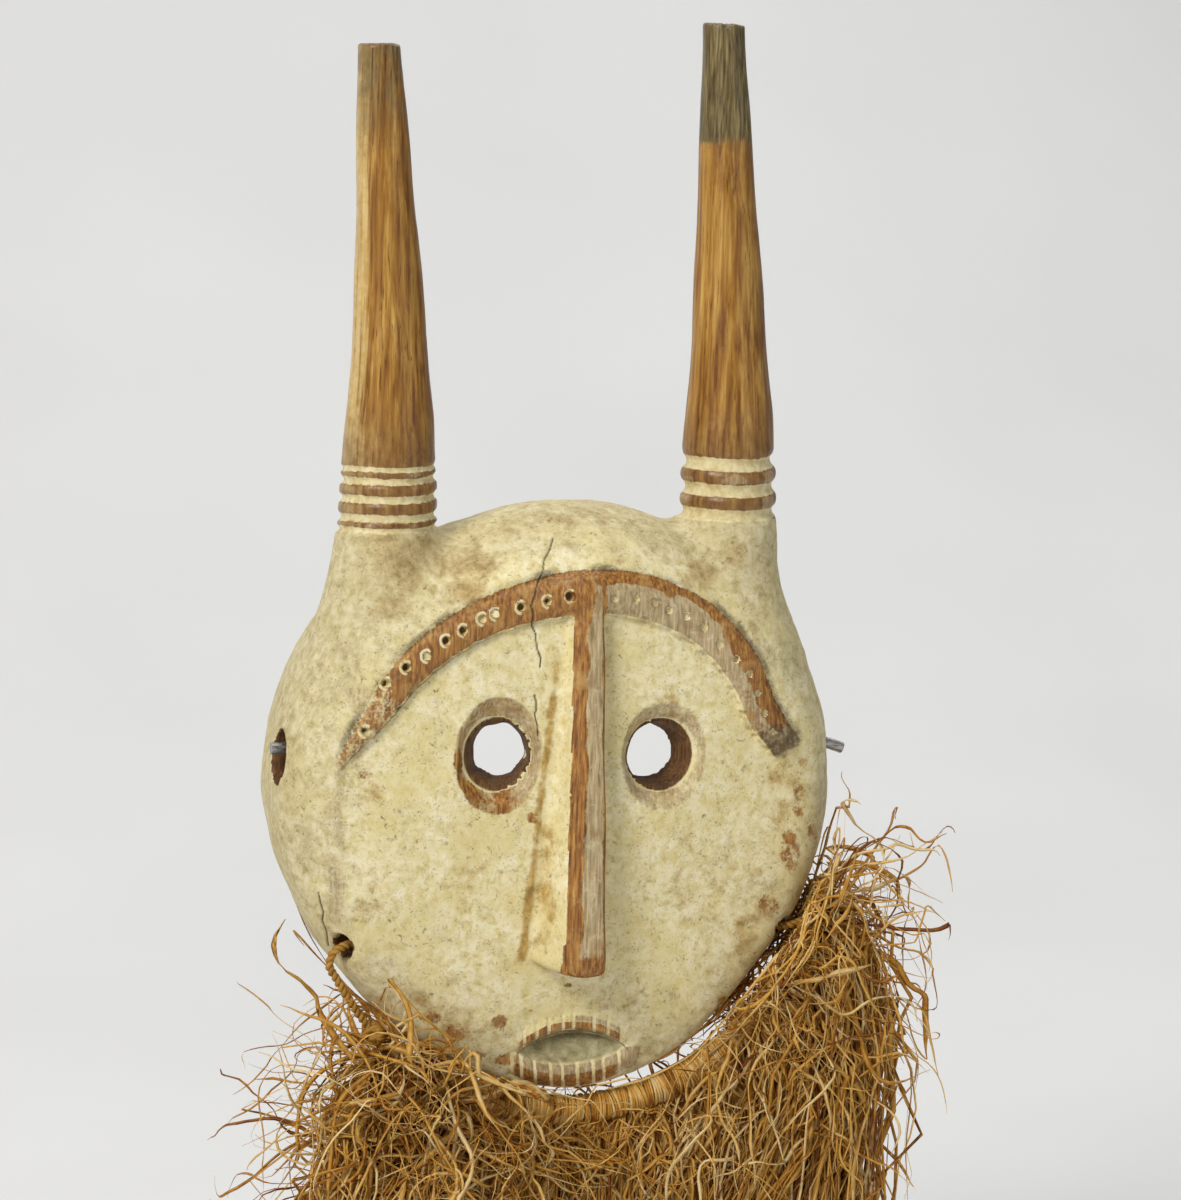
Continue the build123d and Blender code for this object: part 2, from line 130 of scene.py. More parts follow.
BROW_LOWER = [(84, 7), (72, 21), (63, 35), (52, 47), (38, 57), (20, 64.5), (0, 67.0), (-20, 64.5),
              (-40, 58), (-56, 49), (-70, 37), (-79, 25), (-92, 8)]
_bp = np.array([math.atan2(z + 30, x) for x, z in BROW_LOWER])
_br = np.array([math.hypot(x, z + 30) for x, z in BROW_LOWER])
BAND_DEG = [18, 24, 36, 50, 62, 75, 90, 105, 120, 130, 138, 148, 156, 162]
BAND_LOW = [-4, -4, -4, -1.5, -0.3, -1.5, -2.7, -2.6, -2.4, -2.8, -3.2, -1.8, 0, 0]
BAND_TOP = [9, 9, 10, 13.5, 15.5, 15, 13.9, 12, 10.5, 9.4, 7.9, 5.6, 2.5, 1]
BPHI = np.linspace(_bp[0], _bp[-1], 400)
BRHO = hermite(_bp, _br, BPHI)
DOTS = [(-84.2, 21.8), (-76.5, 39.8), (-69.2, 45.9), (-61.6, 50.1), (-54.2, 55.8),
        (-47.6, 59.5), (-40.1, 63.7), (-35.2, 65.6), (-25.3, 68.1), (-15.3, 70.3),
        (-6.7, 72.1), (10.4, 71.0), (19.7, 70.4), (27.5, 69.0), (33.4, 65.8), (40.9, 63.3),
        (48.2, 58.8), (54.7, 52.0), (61.7, 46.3), (67.5, 40.2), (71.2, 32.6),
        (74.5, 24.6), (78.2, 17.0)]
EYES = [(-32.5, 11.2, 16.4, 21.8), (33.8, 9.2, 17.0, 20.6)]
# height, crest left, crest right, base left, base right, crest Y
NOSE = np.array([(-73.5, -7.4, 7.4, -19.5, 14.5, -92.5), (-66.0, -7.3, 7.3, -19.0, 14.3, -94.0),
                 (-40.0, -7.1, 6.7, -17.0, 13.0, -94.4), (0.0, -6.0, 6.3, -14.0, 11.2, -92.5),
                 (40.0, -5.0, 6.3, -9.5, 9.8, -89.0), (66.0, -4.4, 6.5, -7.4, 9.0, -86.3),
                 (80.0, -5.2, 5.9, -7.6, 8.4, -84.8)])
LEFT_HORN = np.array([(46.0, -68.5, 26.0), (62.5, -70.6, 24.2), (79.0, -70.3, 21.2), (95.5, -69.5, 19.0),
                      (112.0, -69.2, 18.4), (128.5, -69.3, 17.3), (145.0, -69.5, 15.8),
                      (161.6, -69.7, 14.5), (178.2, -70.0, 13.4), (194.8, -70.7, 12.4), (211.4, -71.5, 11.5),
                      (228.0, -72.4, 10.6), (244.6, -73.3, 9.7), (261.2, -74.2, 8.9), (277.8, -75.1, 8.1)])
RIGHT_HORN = np.array([(46.0, 67.5, 27.0), (63.3, 67.0, 23.6), (80.6, 67.4, 20.4), (97.9, 67.9, 19.0),
                       (115.2, 67.7, 18.6), (132.5, 67.1, 17.3), (149.8, 66.7, 15.8),
                       (167.2, 66.3, 14.5), (184.6, 65.7, 13.4), (202.0, 65.0, 12.4), (219.3, 64.3, 11.5),
                       (236.6, 63.6, 10.4), (253.9, 62.9, 9.5), (271.2, 62.2, 8.7), (288.6, 61.6, 8.1)])
# grooves round the horn roots: height, depth, half width
LEFT_GROOVES = [(118.6, 0.9, 1.1), (114.2, 1.5, 1.5), (107.4, 1.5, 1.6), (100.2, 1.4, 1.6), (95.6, 1.5, 1.2)]
RIGHT_GROOVES = [(120.2, 2.0, 2.7), (110.2, 2.0, 2.6), (100.6, 1.9, 2.5)]

NOTCH_LOW = [512, 521.5, 534.7, 550.6, 562.2, 577, 593, 603.7, 619.4]
NOTCH_UP = [524.5, 537, 549, 563.3, 573.5, 594, 608, 621.4]
CRACKS = [[(553, 538), (550, 549), (544, 560), (543, 571), (537, 584), (535, 596), (531, 606), (534, 615), (532, 626), (536, 634), (537, 648), (541, 658), (540, 667)],
          [(535, 695), (537, 705), (535, 716), (538, 727), (537, 736)],
          [(318, 893), (320, 903), (323, 912), (322, 921), (326, 931), (328, 946)]]


def mouth_shape(u, v):
    """Across the picture plane: top and bottom line of the mouth, and how far along it is."""
    w = (u - 571.0) / 53.0
    vc = 1053.0 - (u - 520.0) * 0.0686
    open_ = np.clip(1 - w * w, 0, 1)
    vt = vc - 19.0 * open_ ** 0.85
    vb = vc + 14.0 * open_ ** 0.75
    return w, vt, vb


def front_surface(x, z):
    """Height of the front of the face and of the forehead (Y, negative towards the viewer)."""
    yf = -81.0 + (x * x + (z - 20.0) ** 2) / 1400.0
    yh = -88.0 + (x * x + (z - 60.0) ** 2) / 848.0
    rho = np.hypot(x, z + 30.0)
    phi = np.arctan2(z + 30.0, x)
    s = rho - np.interp(phi, BPHI, BRHO)
    deg = np.degrees(phi)
    lo_, hi_ = np.interp(deg, BAND_DEG, BAND_LOW), np.interp(deg, BAND_DEG, BAND_TOP)
    s = np.where(s < hi_, (s - lo_) / (hi_ - lo_) * 12.5, 12.5 + (s - hi_))
    s = np.where(s < 0, s * (hi_ - lo_) / 12.5, s)
    jag = 0.45 * np.sin(phi * 61) + 0.35 * np.sin(phi * 97 + 1.3) + 0.3 * np.sin(phi * 151 + 0.4)
    ends = smooth(19, 30, deg) * smooth(163, 152, deg)
    sj = s + jag
    band = smooth(-0.7, 0.8, sj) * (2.3 + 1.3 * np.sin(np.pi * np.clip(s / 12.5, 0, 1)))
    centre = np.exp(-((x - 0.5) / 17.0) ** 2)
    band = band + smooth(-1.5, 5.0, s) * 3.2 * centre
    band = band * (1 - 0.75 * smooth(11.6, 13.6, s + 0.3 * jag))
    bulge = np.maximum(yf - yh, 0.0)
    t = np.clip((s - 12.9 - 0.3 * jag) / 15.0, 0, 1)
    rise = bulge * np.sqrt(np.clip(1 - (1 - t) ** 2, 0, 1))
    y = yf - np.maximum(band * ends * (1 - 0.8 * smooth(14, 26, s)), 0) - rise
    # hand-cut undulation
    y = y + 0.45 * (np.sin(x / 13.0 + 1.0) * np.sin(z / 17.0 + 0.5)) + 0.3 * np.sin(x / 7.0 + z / 9.0)
    # lips and mouth
    u, v = picture(x, -72.0, z)
    w, vt, vb = mouth_shape(u, v)
    inside = np.minimum(v - vt, vb - v)
    near = (np.abs(w) < 1.6) & (z < -80)
    q = np.clip((vb - v) / np.maximum(vb - vt, 1e-3), 0, 1)
    recess = smooth(0, 5, inside) * (np.abs(w) < 1) * (1.3 + 4.6 * q ** 1.6 * np.clip(1 - w * w, 0, 1))
    t_up = (vt - v) / 16.0
    upper = 1.5 * smooth(0.0, 0.15, t_up) * smooth(1.2, 0.4, t_up) * smooth(1.2, 0.8, np.abs(w))
    t_low = (v - vb) / 24.0
    ww = (u - 576.0) / 68.0
    lower = 3.4 * np.sin(np.pi * np.clip(t_low, 0, 1)) ** 0.7 * smooth(1.03, 0.72, np.abs(ww))
    lip = np.where(near, recess - upper - lower, 0.0)
    cut = np.zeros_like(x)
    for n in NOTCH_LOW:
        cut = np.maximum(cut, np.exp(-((u - n - 0.05 * (v - 1068)) / 1.5) ** 2) * smooth(-1, 2, v - vb) * smooth(27, 23, v - vb))
    for n in NOTCH_UP:
        cut = np.maximum(cut, np.exp(-((u - n) / 1.4) ** 2) * smooth(-1, 2, vt - v) * smooth(19, 15, vt - v))
    lip = lip + np.where(near, 0.7 * cut, 0.0)
    return y + lip, s, phi, ends


def head_sd(x, y, z):
    d = -y
    zz = z + 8.0
    r = np.hypot(x, zz)
    phi = np.arctan2(zz, x)
    r0 = np.interp(phi, PHI, RAD)
    sn = np.sin(phi)
    up = np.maximum(sn, 0) ** 2
    dn = np.maximum(-sn, 0) ** 2
    sd = 1 - up - dn
    ins = np.interp(d, DEPTH, INS[0]) * sd + np.interp(d, DEPTH, INS[1]) * up + np.interp(d, DEPTH, INS[2]) * dn
    g = np.interp(d, DEPTH, DINS[0]) * sd + np.interp(d, DEPTH, DINS[1]) * up + np.interp(d, DEPTH, DINS[2]) * dn
    wob = 0.5 * np.sin(phi * 7 + d / 14.0) * np.sin(d / 19.0 + 1.0) + 0.25 * np.sin(phi * 19 + d / 9.0)
    lateral = (r - (r0 - ins) + wob * smooth(4, 16, d)) / np.sqrt(1 + g * g)
    yfr, _, _, _ = front_surface(x, z)
    f = smax(lateral, (yfr - y) * 0.95, 3.0)
    # hollow, hand-scooped
    scoop = 0.9 * np.sin(phi * 9 + 2 * np.sin(d / 11.0)) * np.sin(d / 6.5 + phi * 2.0)
    floor = 0.9 * np.sin(x / 8.5 + 1.5 * np.sin(z / 23.0)) * np.sin(z / 7.5 + 0.7)
    fh = r - (r0 - np.interp(d, HDEPTH, HINS)) + scoop * 0.5
    fh = smax(fh * 0.9, d - 63.4 + floor * 0.5, 9.0)
    return f, fh


def horn_sd(x, y, z, tab, grooves, tip):
    cx = np.interp(z, tab[:, 0], tab[:, 1])
    r = np.interp(z, tab[:, 0], tab[:, 2])
    lean = np.clip((z - 96.0) / (tab[-1, 0] - 96.0), 0, 1)
    cy = -50.0 + 2.0 * lean
    dx, dy = x - cx, y - cy
    th = np.arctan2(dy, dx)
    facet = smooth(122, 140, z)
    r = r * (1 + facet * (0.016 * np.cos(3 * th + 0.9) + 0.012 * np.cos(5 * th + z / 70.0) + 0.006 * np.cos(9 * th + z / 45.0)))
    r = r + 0.25 * np.sin(z / 9.0 + 2 * th) * facet
    wob = 0.9 * np.sin(th + (1.0 if tip > 280 else 2.0)) + 0.5 * np.sin(2 * th + 0.7)
    for gz, gd, gw in grooves:
        r = r - gd * np.exp(-np.abs((z - gz - wob) / gw) ** 3)
    f = np.hypot(dx, dy) - r
    top = tip + 0.03 * dx * (1 if tip < 280 else -1) + 0.5 * np.sin(th * 3) * 0.4
    f = smax(f, z - top, 1.3)
    return smax(f, 46.0 - z, 5.0)


def mask_sd(x, y, z):
    f, fh = head_sd(x, y, z)
    # nose
    cl, cr, bl, br, cy = [np.interp(z, NOSE[:, 0], NOSE[:, i]) for i in range(1, 6)]
    t = (y - cy) / (-72.0 - cy)
    xl, xr = cl + (bl - cl) * t, cr + (br - cr) * t
    wav = 0.25 * np.sin(z / 9.0)
    n = smax((xl - x + wav) * 0.93, (x - xr + wav) * 0.93, 0.6)
    n = smax(n, cy - y + 0.012 * (x - 1.0) ** 2, 1.1)
    n = smax(n, -((x - cl - 4.3) * 0.46 + (y - cy) * 0.888), 0.5)
    n = smax(n, z - 79.0 + 0.12 * (y + 84), 2.5)
    n = smax(n, (-73.5 - z) * 0.97 - (y - cy) * 0.12 + 0.02 * (x - 1) ** 2, 2.0)
    n = np.where(y > -60, 50.0, n)
    f = smin(f, n, 1.6 + 3.0 * smooth(52, 72, z))
    # horns
    f = smin(f, horn_sd(x, y, z, LEFT_HORN, LEFT_GROOVES, 277.3), 10.0)
    f = smin(f, horn_sd(x, y, z, RIGHT_HORN, RIGHT_GROOVES, 288.1), 10.0)
    f = smax(f, np.maximum(np.abs(x - 60.9) - 0.9, 286.4 - z) * -1.0, 0.4)
    # hollow and rim plane
    f = smax(f, -fh, 1.6)
    f = smax(f, y + 0.15 * np.sin(x / 9.0) * np.sin(z / 11.0) + 0.15, 1.4)
    # eyes
    for i, (ex, ez, a, b) in enumerate(EYES):
        lean = (4.6 if i == 0 else -2.8) * np.clip((y + 79.0) / 15.0, 0, 1.3)
        dx, dz = x - ex - lean, z - ez
        ang = np.arctan2(dz, dx)
        rt = 10.1 + 3.0 * np.clip((-y - 62.5) / 15.0, 0, 1)
        if i == 0:
            rt = rt * (1 + 0.028 * np.cos(5 * ang + 0.6) + 0.018 * np.cos(8 * ang + 2.0)) - 0.4
            a2 = a * (1 + 0.03 * np.cos(3 * ang + 1.0) + 0.03 * np.cos(7 * ang))
            b2 = b * (1 + 0.03 * np.cos(3 * ang + 1.0) + 0.03 * np.cos(7 * ang))
        else:
            rt = rt * (1 + 0.012 * np.cos(3 * ang + 0.6) + 0.010 * np.cos(7 * ang + 2.0))
            a2, b2 = a, b
        ft = np.hypot(dx, dz) - rt
        tb = (-y - 75.0) / 5.0
        aa, bb = 13.2 + (a2 - 13.2) * tb, 13.6 + (b2 - 13.6) * tb
        fb = np.where(tb > 0, (np.hypot(dx / np.maximum(aa, 1), dz / np.maximum(bb, 1)) - 1) * np.minimum(aa, bb) * 0.75, 60.0)
        fb = np.where(y < -70, fb, 60.0)
        f = smax(f, -np.minimum(ft, fb), 0.7)
    # side holes
    for sx, hz in ((-1, 8.0), (1, 6.5)):
        fs = (np.hypot((y + 50.0) / 7.5, (z - hz) / 10.5) - 1) * 8.0
        fs = np.where(x * sx > 60, fs, 60.0)
        f = smax(f, -fs, 1.0)
    # slanted cord holes
    for sx in (-1, 1):
        m = np.array([sx * 88.7, -66.5, -62.5])
        q = np.array([sx * 62.0, -47.5, -61.0])
        dv = q - m
        ln = np.linalg.norm(dv)
        dv = dv / ln
        t = (x - m[0]) * dv[0] + (y - m[1]) * dv[1] + (z - m[2]) * dv[2]
        t = np.clip(t, -16.0, ln - 1.0)
        fc = np.sqrt((x - m[0] - dv[0] * t) ** 2 + (y - m[1] - dv[1] * t) ** 2 + ((z - m[2] - dv[2] * t) * (0.78 if sx < 0 else 1.0)) ** 2) - 4.3
        f = smax(f, -fc, 0.7)
    # drilled dots of the brow
    front = y < -66
    for i, (dx0, dz0) in enumerate(DOTS):
        rr = 1.9 if dx0 > -10 and dx0 < -5 else 1.45
        depth = 3.4 if dx0 < 8 else 1.3
        near = front & (np.abs(x - dx0) < 6) & (np.abs(z - dz0) < 6)
        if not near.any():
            continue
        xs, zs, ys = x[near], z[near], y[near]
        surf = front_surface(np.array([float(dx0)]), np.array([float(dz0)]))[0][0]
        rad = np.hypot(xs - dx0, zs - dz0)
        fd = smax(rad - rr, ys - (surf + depth), 0.6)
        f[near] = smax(f[near], -fd, 0.35)
    return f


# ------------------------------------------------------------------ surface of the mask
def surface_nets(h):
    xs = np.arange(-122.0, 122.0 + h, h)
    ys = np.arange(-100.0, 4.0 + h, h)
    zs = np.arange(-127.0, 293.0 + h, h)
    nx, ny, nz = len(xs), len(ys), len(zs)
    vals = np.empty((nx, ny, nz))
    for k0 in range(0, nz, 24):
        X, Y, Z = np.meshgrid(xs, ys, zs[k0:k0 + 24], indexing="ij")
        vals[:, :, k0:k0 + 24] = mask_sd(X.ravel(), Y.ravel(), Z.ravel()).reshape(X.shape)
    neg = vals < 0
    corner = [(0, 0, 0), (1, 0, 0), (0, 1, 0), (1, 1, 0), (0, 0, 1), (1, 0, 1), (0, 1, 1), (1, 1, 1)]
    count = np.zeros((nx - 1, ny - 1, nz - 1), np.int8)
    for i, j, k in corner:
        count += neg[i:nx - 1 + i, j:ny - 1 + j, k:nz - 1 + k]
    active = (count > 0) & (count < 8)
    ci, cj, ck = np.nonzero(active)
    ids = -np.ones(active.shape, int)
    ids[ci, cj, ck] = np.arange(len(ci))
    cv = np.stack([vals[ci + i, cj + j, ck + k] for i, j, k in corner], 1)
    acc = np.zeros((len(ci), 3))
    num = np.zeros(len(ci))
    edges = [(a, b) for a in range(8) for b in range(a + 1, 8) if sum(abs(p - q) for p, q in zip(corner[a], corner[b])) == 1]
    cc = np.array(corner, float)
    for a, b in edges:
        va, vb = cv[:, a], cv[:, b]
        m = (va < 0) != (vb < 0)
        t = np.where(m, va / np.where(m, va - vb, 1), 0)
        p = cc[a] + (cc[b] - cc[a]) * t[:, None]
        acc[m] += p[m]
        num[m] += 1
    loc = acc / num[:, None]
    P = np.stack([xs[ci] + loc[:, 0] * h, ys[cj] + loc[:, 1] * h, zs[ck] + loc[:, 2] * h], 1)
    faces = []
    for axis in range(3):
        sl0 = [slice(None)] * 3
        sl1 = [slice(None)] * 3
        sl0[axis] = slice(0, -1)
        sl1[axis] = slice(1, None)
        a, b = neg[tuple(sl0)], neg[tuple(sl1)]
        e = np.argwhere(a != b)
        o1, o2 = [(1, 2), (2, 0), (0, 1)][axis]
        dims = (nx, ny, nz)
        ok = (e[:, o1] > 0) & (e[:, o2] > 0) & (e[:, o1] < dims[o1] - 1) & (e[:, o2] < dims[o2] - 1)
        e = e[ok]
        inside_first = a[e[:, 0], e[:, 1], e[:, 2]]
        d1, d2 = np.zeros(3, int), np.zeros(3, int)
        d1[o1], d2[o2] = 1, 1
        q = [e - d1 - d2, e - d2, e, e - d1]
        q = np.stack([ids[c[:, 0], c[:, 1], c[:, 2]] for c in q], 1)
        q[~inside_first] = q[~inside_first][:, ::-1]
        faces.append(q)
    faces = np.concatenate(faces)
    return P, faces


def gradient(P, eps=0.06):
    x, y, z = P[:, 0], P[:, 1], P[:, 2]
    g = np.stack([mask_sd(x + eps, y, z) - mask_sd(x - eps, y, z),
                  mask_sd(x, y + eps, z) - mask_sd(x, y - eps, z),
                  mask_sd(x, y, z + eps) - mask_sd(x, y, z - eps)], 1) / (2 * eps)
    return g


def project(P, rounds=3, cap=1.2):
    P = P.copy()
    for _ in range(rounds):
        f = mask_sd(P[:, 0], P[:, 1], P[:, 2])
        g = gradient(P)
        g2 = np.maximum((g * g).sum(1), 0.2)
        step = -(f / g2)[:, None] * g
        ln = np.linalg.norm(step, axis=1)
        step *= np.minimum(1, cap / np.maximum(ln, 1e-9))[:, None]
        P += step
    return P


def poly_distance(u, v, pts):
    d = np.full(u.shape, 1e9)
    for (x0, y0), (x1, y1) in zip(pts[:-1], pts[1:]):
        dx, dy = x1 - x0, y1 - y0
        t = np.clip(((u - x0) * dx + (v - y0) * dy) / (dx * dx + dy * dy + 1e-9), 0, 1)
        d = np.minimum(d, np.hypot(u - x0 - dx * t, v - y0 - dy * t))
    return d


def zone_one(P):
    x, y, z = P[:, 0], P[:, 1], P[:, 2]
    front = y < -60
    _, s, phi, ends = front_surface(x, z)
    m = front & (s > -3) & (s < 19) & (ends > 0.02) & (z < 100)
    m |= front & (x > -24) & (x < 19) & (z > -80) & (z < 82)
    for ex, ez, a, b in EYES:
        m |= (y < -58) & (np.hypot(x - ex, z - ez) < 25)
    m |= front & (np.abs(x) < 38) & (z < -80)
    m |= (z > 90) & (z < 124)
    m |= (np.abs(x) > 80) & (np.hypot(y + 50, z - 7) < 16)
    m |= (np.abs(x) > 60) & (np.hypot(np.abs(x) - 85, z + 62.5) < 15) & (y < -42)
    m |= (z > 270)
    u, v = picture(x, y, z)
    for c in CRACKS:
        m |= (y < -20) & (poly_distance(u, v, c) < 9)
    return m


def zone_two(P):
    x, y, z = P[:, 0], P[:, 1], P[:, 2]
    m = np.zeros(len(P), bool)
    for dx, dz in DOTS:
        m |= (y < -68) & (np.hypot(x - dx, z - dz) < 4.2)
    u, v = picture(x, y, z)
    m |= (y < -64) & (u > 500) & (u < 650) & (v > 1010) & (v < 1092)
    for c in CRACKS:
        m |= (y < -20) & (poly_distance(u, v, c) < 4)
    _, s, phi, ends = front_surface(x, z)
    m |= (y < -66) & (s > -2) & (s < 2) & (ends > 0.3) & (z < 100)
    return m


def to_mesh(name, P, faces):
    me = bpy.data.meshes.new(name)
    me.from_pydata([tuple(p) for p in P], [], [tuple(int(i) for i in f) for f in faces])
    me.update()
    return me


def coords(bm):
    return np.array([v.co[:] for v in bm.verts], float)


H = 2.2
P, F = surface_nets(H)
P = project(P, 3, 1.0)
mesh = to_mesh("carved_mask", P, F)
bm = bmesh.new()
bm.from_mesh(mesh)
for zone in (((zone_one, zone_two))):
    cur = coords(bm)
    inz = zone(cur)
    bm.verts.ensure_lookup_table()
    bm.verts.index_update()
    es = [e for e in bm.edges if inz[e.verts[0].index] and inz[e.verts[1].index]]
    bmesh.ops.subdivide_edges(bm, edges=es, cuts=1, use_grid_fill=True)
    bm.verts.ensure_lookup_table()
    bm.verts.index_update()
    cur = project(coords(bm), 2, 0.6)
    for vtx, p in zip(bm.verts, cur):
        vtx.co = p
bmesh.ops.triangulate(bm, faces=[f for f in bm.faces if len(f.verts) > 4])
P = coords(bm)
g = gradient(P)
NRM = g / np.maximum(np.linalg.norm(g, axis=1), 1e-6)[:, None]
x, y, z = P[:, 0], P[:, 1], P[:, 2]
u, v = picture(x, y, z)
facing = -(NRM @ CAM_F)                      # 1 where the surface faces the camera

# ------------------------------------------------------------------ where each finish lies
_, s, phi, ends = front_surface(x, z)
deg = np.degrees(phi)
front = (y < -62) & (NRM[:, 1] < -0.15)
F_ = front.astype(float)
n8 = noise3(x, y, z, 8.0)
n4 = noise3(x + 30, y, z, 4.0)
n16 = noise3(x, y + 90, z, 16.0)
n30 = noise3(x, y, z + 60, 30.0)


def blob(cu, cv, ru, rv, soft=0.5):
    d = np.hypot((u - cu) / ru, (v - cv) / rv)
    return smooth(1 + soft, 1 - soft, d)


seen = (facing > 0.02).astype(float) * smooth(-6, -14, y)
band_on = smooth(0.0, 1.2, s) * smooth(14.2, 12.6, s) * smooth(0.2, 0.7, ends) * F_
nose_cl = np.interp(z, NOSE[:, 0], NOSE[:, 1])
nose_cr = np.interp(z, NOSE[:, 0], NOSE[:, 2])
nose_cy = np.interp(z, NOSE[:, 0], NOSE[:, 5])
on_crest = (y < nose_cy + 2.6) & (z > -75) & (z < 81) & (x > nose_cl - 1.2) & (x < nose_cr + 1.3)
on_crest = on_crest.astype(float)
crest_left = on_crest * smooth(5.6, 3.4, x - nose_cl + 2.0 * (n8 - 0.5) + 1.4 * (n4 - 0.5))
crest_edge = on_crest * smooth(1.3, 0.5, nose_cr - x)

brown = np.zeros(len(P))
grey = np.zeros(len(P))
grime_and_shade = np.zeros(len(P))
stain = np.zeros(len(P))
cream = np.zeros(len(P))

s = s + 2.4 * (n8 - 0.5) * smooth(3, 5, s) * smooth(12.2, 10, s) + 1.4 * (n4 - 0.5) * smooth(1, 3, s) * smooth(12.4, 11, s)
left_part = smooth(86, 92, deg)
brown = np.maximum(brown, band_on * left_part * (1.3 - 0.75 * smooth(126, 142, deg)))
grey = np.maximum(grey, band_on * smooth(126, 140, deg) * 0.55)
right_strip = smooth(9.0, 10.4, s) * (1 - left_part) + (1 - left_part) * smooth(62, 52, deg) * smooth(5.5, 8.0, s)
brown = np.maximum(brown, band_on * np.clip(right_strip, 0, 1) * smooth(26, 34, deg))
grey = np.maximum(grey, band_on * (1 - left_part) * (1 - 0.2 * smooth(60, 40, deg)))
brown = np.maximum(brown, band_on * (1 - left_part) * 0.42 * smooth(58, 46, deg))
grime_and_shade = np.maximum(grime_and_shade, band_on * smooth(40, 28, deg) * 0.85)
# painted shade: a dark line in the groove under the forehead's bulge, and a painted shadow along the band's lower edge
grime_and_shade = np.maximum(grime_and_shade, F_ * smooth(12.0, 13.2, s) * smooth(18.5, 13.4, s) * ends * (0.30 + 0.75 * n8))
grime_and_shade = np.maximum(grime_and_shade, F_ * smooth(-2.2, -0.4, s) * smooth(0.9, 0.0, s) * ends * (0.45 + 0.35 * smooth(95, 130, deg)))
brown = np.maximum(brown, crest_left * 1.2)
brown = np.maximum(brown, crest_edge * 0.85)
grey = np.maximum(grey, on_crest * (0.75 + 0.5 * n8))
stain = np.maximum(stain, on_crest * 0.5)
stain = np.maximum(stain, F_ * smooth(3.4, 0.0, np.abs(x - np.interp(z, NOSE[:, 0], NOSE[:, 3]) + 1.0)) * smooth(-78, -66, z) * smooth(64, 40, z) * 1.0)
# painted shade: a dark line in the crease at the base of the nose's left flank; the ochre line just above is stain
grime_and_shade = np.maximum(grime_and_shade, F_ * smooth(2.0, 0.0, np.abs(x - np.interp(z, NOSE[:, 0], NOSE[:, 3]) + 0.6)) * smooth(-78, -66, z) * smooth(60, 30, z) * (0.15 + 0.5 * n8))
nose_end = ((z < -60) & (z > -76) & (x > nose_cl - 1.5) & (x < nose_cr + 1.5) & (y < -80)).astype(float)
brown = np.maximum(brown, nose_end * (0.35 + 0.65 * smooth(-62, -70, z)))
top_join = F_ * smooth(60, 66, z) * smooth(82, 78, z) * np.exp(-((x - 1) / 9.0) ** 2)

# eyes
tunnel = np.zeros(len(P))
for i, (ex, ez, a, b) in enumerate(EYES):
    dx, dz = x - ex, z - ez
    rad = np.hypot(dx / a, dz / b)
    ang = np.degrees(np.arctan2(dz, dx))
    inside = (np.hypot(dx, dz) < 14.5) & (y > -78.6) & (y < -55)
    tunnel = np.maximum(tunnel, inside * smooth(-77.5, -73.5, y))
    ring = smooth(1.1, 1.0, rad) * F_ * (y < -70) * (1 - inside * smooth(-77.5, -75, y))
    if i == 0:
        low = smooth(150, 175, np.abs(ang + 0)) + smooth(-40, -80, ang) * smooth(-180, -150, ang) + smooth(85, 100, ang) * smooth(140, 125, ang) * 0.6
        brown = np.maximum(brown, ring * np.clip(low, 0, 1) * (0.35 + 0.65 * n4))
        grey = np.maximum(grey, ring * 0.72)
        stain = np.maximum(stain, ring * 0.7)
    else:
        grey = np.maximum(grey, ring * 0.62)
        stain = np.maximum(stain, ring * 0.35)
    # painted shade: a thin dark line round the edge of each eye opening
    grime_and_shade = np.maximum(grime_and_shade, 0.35 * F_ * smooth(0.10, 0.0, np.abs(rad - 1.03)))

# mouth
mw, mvt, mvb = mouth_shape(u, v)
mouth_in = smooth(-0.5, 3, np.minimum(v - mvt, mvb - v)) * (np.abs(mw) < 1) * F_ * (z < -80)
notch = np.zeros(len(P))
for n in NOTCH_LOW:
    notch = np.maximum(notch, smooth(2.4, 1.0, np.abs(u - n - 0.05 * (v - 1068))) * smooth(-2, 1, v - mvb) * smooth(27, 23, v - mvb))
for n in NOTCH_UP:
    notch = np.maximum(notch, smooth(2.2, 0.9, np.abs(u - n)) * smooth(-1, 2, mvt - v) * smooth(20, 16, mvt - v))
notch *= F_ * (z < -80)
lipl = F_ * (z < -84) * smooth(0, 2.5, v - mvb) * smooth(25, 21, v - mvb) * smooth(1.0, 0.86, np.abs((u - 576) / 68.0))
lipu = F_ * (z < -80) * smooth(0, 2, mvt - v) * smooth(18, 13, mvt - v) * smooth(1.1, 0.9, np.abs(mw))
grey = np.maximum(grey, lipl * smooth(15, 8, v - mvb))
brown = np.maximum(brown, lipl * smooth(8, 13, v - mvb) * smooth(626, 606, u) * 1.0)
grey = np.maximum(grey, lipl * 0.8 * smooth(606, 626, u))
brown = np.maximum(brown, lipu * (0.55 + 0.45 * n4) * smooth(11, 8, mvt - v))
grey = np.maximum(grey, lipu * 0.75 * smooth(7, 11, mvt - v) * smooth(560, 580, u))
cream = np.maximum(cream, notch)
# painted shade inside the mouth under the upper lip, and a painted shadow line along the upper lip's edge
grime_and_shade = np.maximum(grime_and_shade, mouth_in * smooth(0.45, 1.0, np.clip((mvb - v) / np.maximum(mvb - mvt, 1e-3), 0, 1)) * 0.8)
grime_and_shade = np.maximum(grime_and_shade, F_ * (z < -80) * (np.abs(mw) < 1.02) * smooth(2.2, 0.4, np.abs(v - mvt)) * 0.85)
